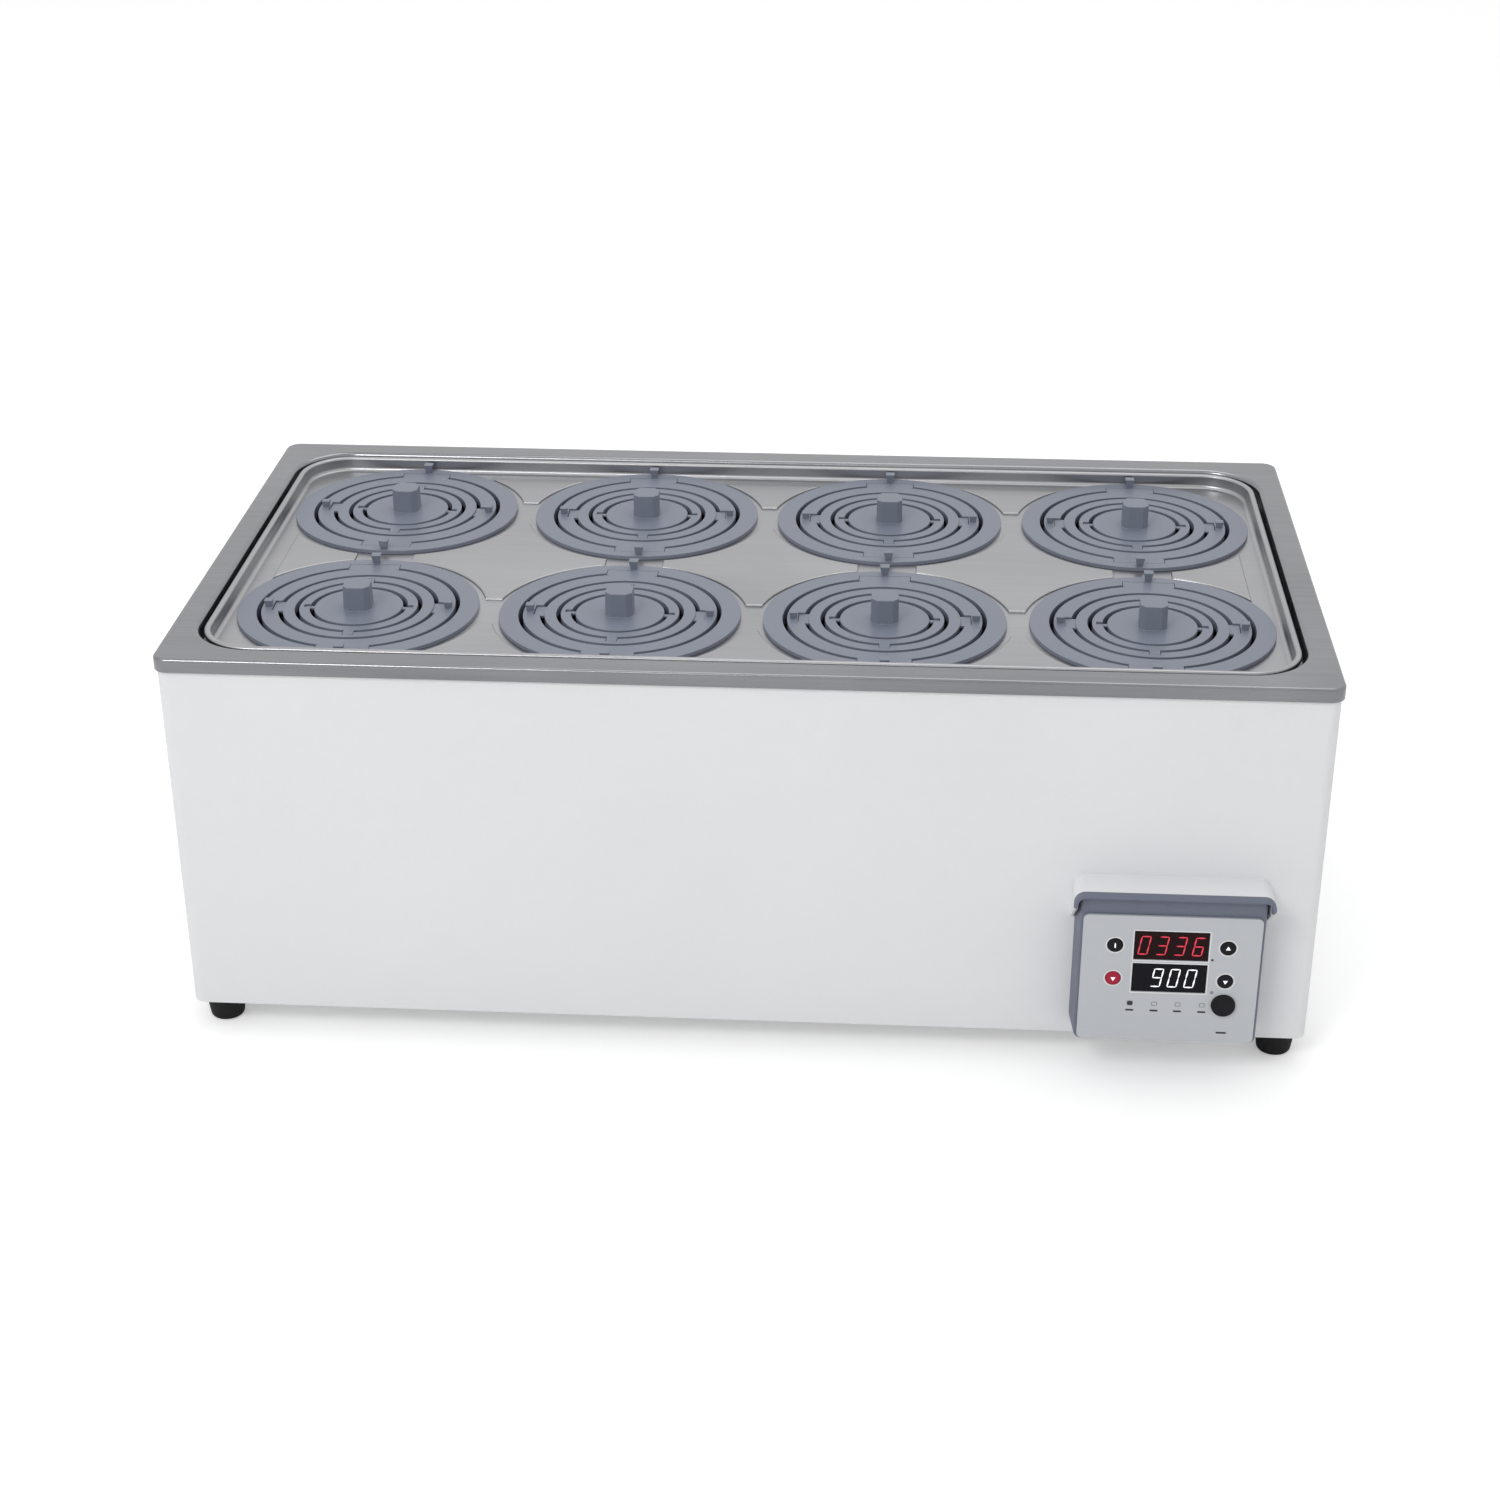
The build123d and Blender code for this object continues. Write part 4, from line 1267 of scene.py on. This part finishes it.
    def build_symbols(self) -> None:
        """Builds the raised symbols on the small buttons, their glowing finish a painted highlight.
        """
        for name, (x, y) in self.buttons.items():
            bm = bmesh.new()
            if name == "start_button":
                verts = Outline(*self.start_mark, 0.0).fill(bm, 3).verts[:]
            else:
                verts = bmesh.ops.create_circle(bm, cap_ends=True, segments=3,
                                                radius=self.arrow_radius)["verts"]
                turn = math.pi if name == "up_button" else 0.0
                lowest = min(verts, key=lambda v: v.co.y).co
                turn += -math.pi / 2 - math.atan2(lowest.y, lowest.x)
                turn_flat(bm, turn, verts)
            bmesh.ops.translate(bm, vec=(x, y, self.symbol_face), verts=verts)
            self.thicken(bm, verts)
            # The symbols glow like the lit digits although they are no lamps: a painted highlight
            self.place(bm, f"{name}_symbol", LIT_WHITE, name, move=self.move)


@dataclass
class MainsInlet(Assembly):
    """Power inlet low on the back."""

    flange: Four = (48.0, 23.0, 3.0, 1.4)
    body: Triple = (28.0, 20.0, 22.0)
    socket: Triple = (24.0, 16.5, 18.0)
    chamfer: float = 4.0
    blade: Triple = (2.0, 4.0, 12.0)
    blade_places: tuple[Pair, ...] = ((0.0, 4.0), (-7.0, -2.0), (7.0, -2.0))

    def build(self) -> None:
        """Builds the inlet and its blades."""
        move = (Matrix.Translation((INLET_PLACE[0], CASE_DEPTH / 2, INLET_PLACE[1]))
                @ Matrix.Rotation(math.pi, 4, "Z") @ Matrix.Rotation(math.pi / 2, 4, "X"))
        thickness = self.flange[3]
        bm, _ = stack([Outline(*self.flange[:3], 0.0), Outline(*self.flange[:3], thickness)],
                      close_first=True, close_last=True)
        face_out(bm)
        body = bmesh.new()
        block(body, (self.body[0], self.body[1], self.body[2] + 0.7),
              (0.0, 0.0, (0.7 - self.body[2]) / 2))
        bm = combine(bm, [(Join.ADD, body), (Join.CUT, self.socket_cutter())])
        soften_sharp(bm, 0.4, 3, 50.0)
        self.place(bm, "inlet_body", INLET, "bath", ["mains_inlet"], move)
        floor = thickness - self.socket[2]
        bm = bmesh.new()
        for x, y in self.blade_places:
            block(bm, self.blade, (x, y, floor + self.blade[2] / 2))
        soften_sharp(bm, 0.5, 2, 50.0)
        self.place(bm, "inlet_blades", BLADE, "bath", move=move)

    def socket_cutter(self) -> BMesh:
        """Returns the cutter of the socket, its upper corners chamfered."""
        bm = bmesh.new()
        length, height, depth = self.socket
        top = self.flange[3]
        block(bm, (length, height, depth + 4.0), (0.0, 0.0, top + 4.0 - (depth + 4.0) / 2))
        corners = [e for e in bm.edges
                   if all(v.co.y > 0 for v in e.verts)
                   and abs(e.verts[0].co.x - e.verts[1].co.x) < 0.1
                   and abs(e.verts[0].co.z - e.verts[1].co.z) > 1.0]
        soften(bm, corners, self.chamfer, 1)
        return bm


# ---------------------------------------------------------------- studio


@dataclass(frozen=True)
class Studio:
    """Floor, world, lamps and camera."""

    eye: Triple = (0.08307, -1.31713, 0.77473)
    yaw: float = 0.067
    pitch: float = -0.470
    roll: float = -0.003
    focal_pixels: float = 2569.05
    frame_pixels: float = 1500.0
    world_level: float = 0.80
    glossy_share: float = 0.45
    floor_colour: float = 0.90
    floor_lift: float = 0.30

    def build(self) -> None:
        """Builds the studio round the bath."""
        self.build_floor()
        self.build_world()
        self.lamp("key_lamp", (-0.9, -1.7, 1.9), (0.0, 0.0, 0.12), 0.8, 16.0)
        self.lamp("top_lamp", (0.2, 0.7, 2.2), (0.0, 0.0, 0.1), 1.4, 8.0)
        self.build_camera()
        bpy.context.scene.view_settings.view_transform = "Standard"

    def build_floor(self) -> None:
        """Builds the pale floor, lifted to white for the camera."""
        bm = bmesh.new()
        bmesh.ops.create_grid(bm, x_segments=1, y_segments=1, size=8.0)
        floor = as_object(bm, "floor")
        made = bpy.data.materials.new("floor_white")
        made.use_nodes = True
        tree = made.node_tree
        shader = tree.nodes["Principled BSDF"]
        shader.inputs["Base Color"].default_value = (*(self.floor_colour,) * 3, 1.0)
        shader.inputs["Roughness"].default_value = 0.9
        shader.inputs["Specular IOR Level"].default_value = 0.1
        shader.inputs["Emission Color"].default_value = (1.0, 1.0, 1.0, 1.0)
        path = add_node(tree, "ShaderNodeLightPath")
        lift = add_node(tree, "ShaderNodeMath", {
            0: path.outputs["Is Camera Ray"], 1: self.floor_lift}, operation="MULTIPLY")
        tree.links.new(lift.outputs["Value"], shader.inputs["Emission Strength"])
        floor.data.materials.append(made)

    def build_world(self) -> None:
        """Builds a soft world: white for the camera, a gradient for the rest."""
        world = bpy.data.worlds.new("studio")
        bpy.context.scene.world = world
        world.use_nodes = True
        tree = world.node_tree
        background = tree.nodes["Background"]
        background.inputs["Color"].default_value = (1.0, 1.0, 1.0, 1.0)
        rays = add_node(tree, "ShaderNodeLightPath").outputs
        seen = add_node(tree, "ShaderNodeMath", {
            0: rays["Is Glossy Ray"], 1: self.glossy_share, 2: rays["Is Camera Ray"]},
            operation="MULTIPLY_ADD", use_clamp=True)
        clear = add_node(tree, "ShaderNodeMath", {
            0: seen.outputs["Value"], 1: rays["Is Transmission Ray"]}, operation="MAXIMUM")
        way = add_node(tree, "ShaderNodeTexCoord")
        split = add_node(tree, "ShaderNodeSeparateXYZ", {"Vector": way.outputs["Generated"]})
        rise = add_node(tree, "ShaderNodeMapRange", {
            "Value": split.outputs["Y"], "From Min": -0.7, "From Max": 0.9,
            "To Min": 0.78, "To Max": 1.05})
        ambient = add_node(tree, "ShaderNodeMath", {
            0: rise.outputs["Result"], 1: self.world_level}, operation="MULTIPLY")
        level = add_node(tree, "ShaderNodeMix", {
            "Factor": clear.outputs["Value"], "A": ambient.outputs["Value"], "B": 1.0})
        tree.links.new(level.outputs["Result"], background.inputs["Strength"])

    def lamp(self, name: str, place: Sequence[float], target: Sequence[float], size: float,
             power: float) -> None:
        """Adds an area lamp.

        Args:
            name: Name of the lamp.
            place: Where it hangs.
            target: Point that it faces.
            size: Side of its square.
            power: Its power in watts.
        """
        light = bpy.data.lights.new(name, "AREA")
        light.size = size
        light.energy = power
        holder = bpy.data.objects.new(name, light)
        bpy.context.scene.collection.objects.link(holder)
        way = Vector(target) - Vector(place)
        turn = way.to_track_quat("-Z", "Y").to_matrix().to_4x4()
        holder.matrix_world = Matrix.Translation(place) @ turn

    def build_camera(self) -> None:
        """Adds the camera at the photograph's viewing angle."""
        ahead = Vector((-math.sin(self.yaw) * math.cos(self.pitch),
                        math.cos(self.yaw) * math.cos(self.pitch), math.sin(self.pitch)))
        right = Vector((math.cos(self.yaw), math.sin(self.yaw), 0.0))
        up = right.cross(ahead)
        tilted_right = math.cos(self.roll) * right + math.sin(self.roll) * up
        tilted_up = -math.sin(self.roll) * right + math.cos(self.roll) * up
        view = Matrix((tilted_right, tilted_up, -ahead)).transposed().to_4x4()
        view.translation = self.eye
        camera = bpy.data.cameras.new("camera")
        camera.angle = 2 * math.atan(self.frame_pixels / 2 / self.focal_pixels)
        holder = bpy.data.objects.new("camera", camera)
        holder.matrix_world = view
        bpy.context.scene.collection.objects.link(holder)
        bpy.context.scene.camera = holder


def main() -> None:
    """Builds the sub-assemblies in order, then the studio."""
    logging.basicConfig(level=logging.INFO, format="%(name)s: %(message)s")
    marks = marks_group()
    materials = {finish.name: finish.material(marks) for finish in ALL_FINISHES}
    for kind in (Cabinet, Tank, LidPlate, Covers, ControlBox, MainsInlet):
        kind(materials).build()
    Studio().build()


if __name__ == "__main__":
    main()
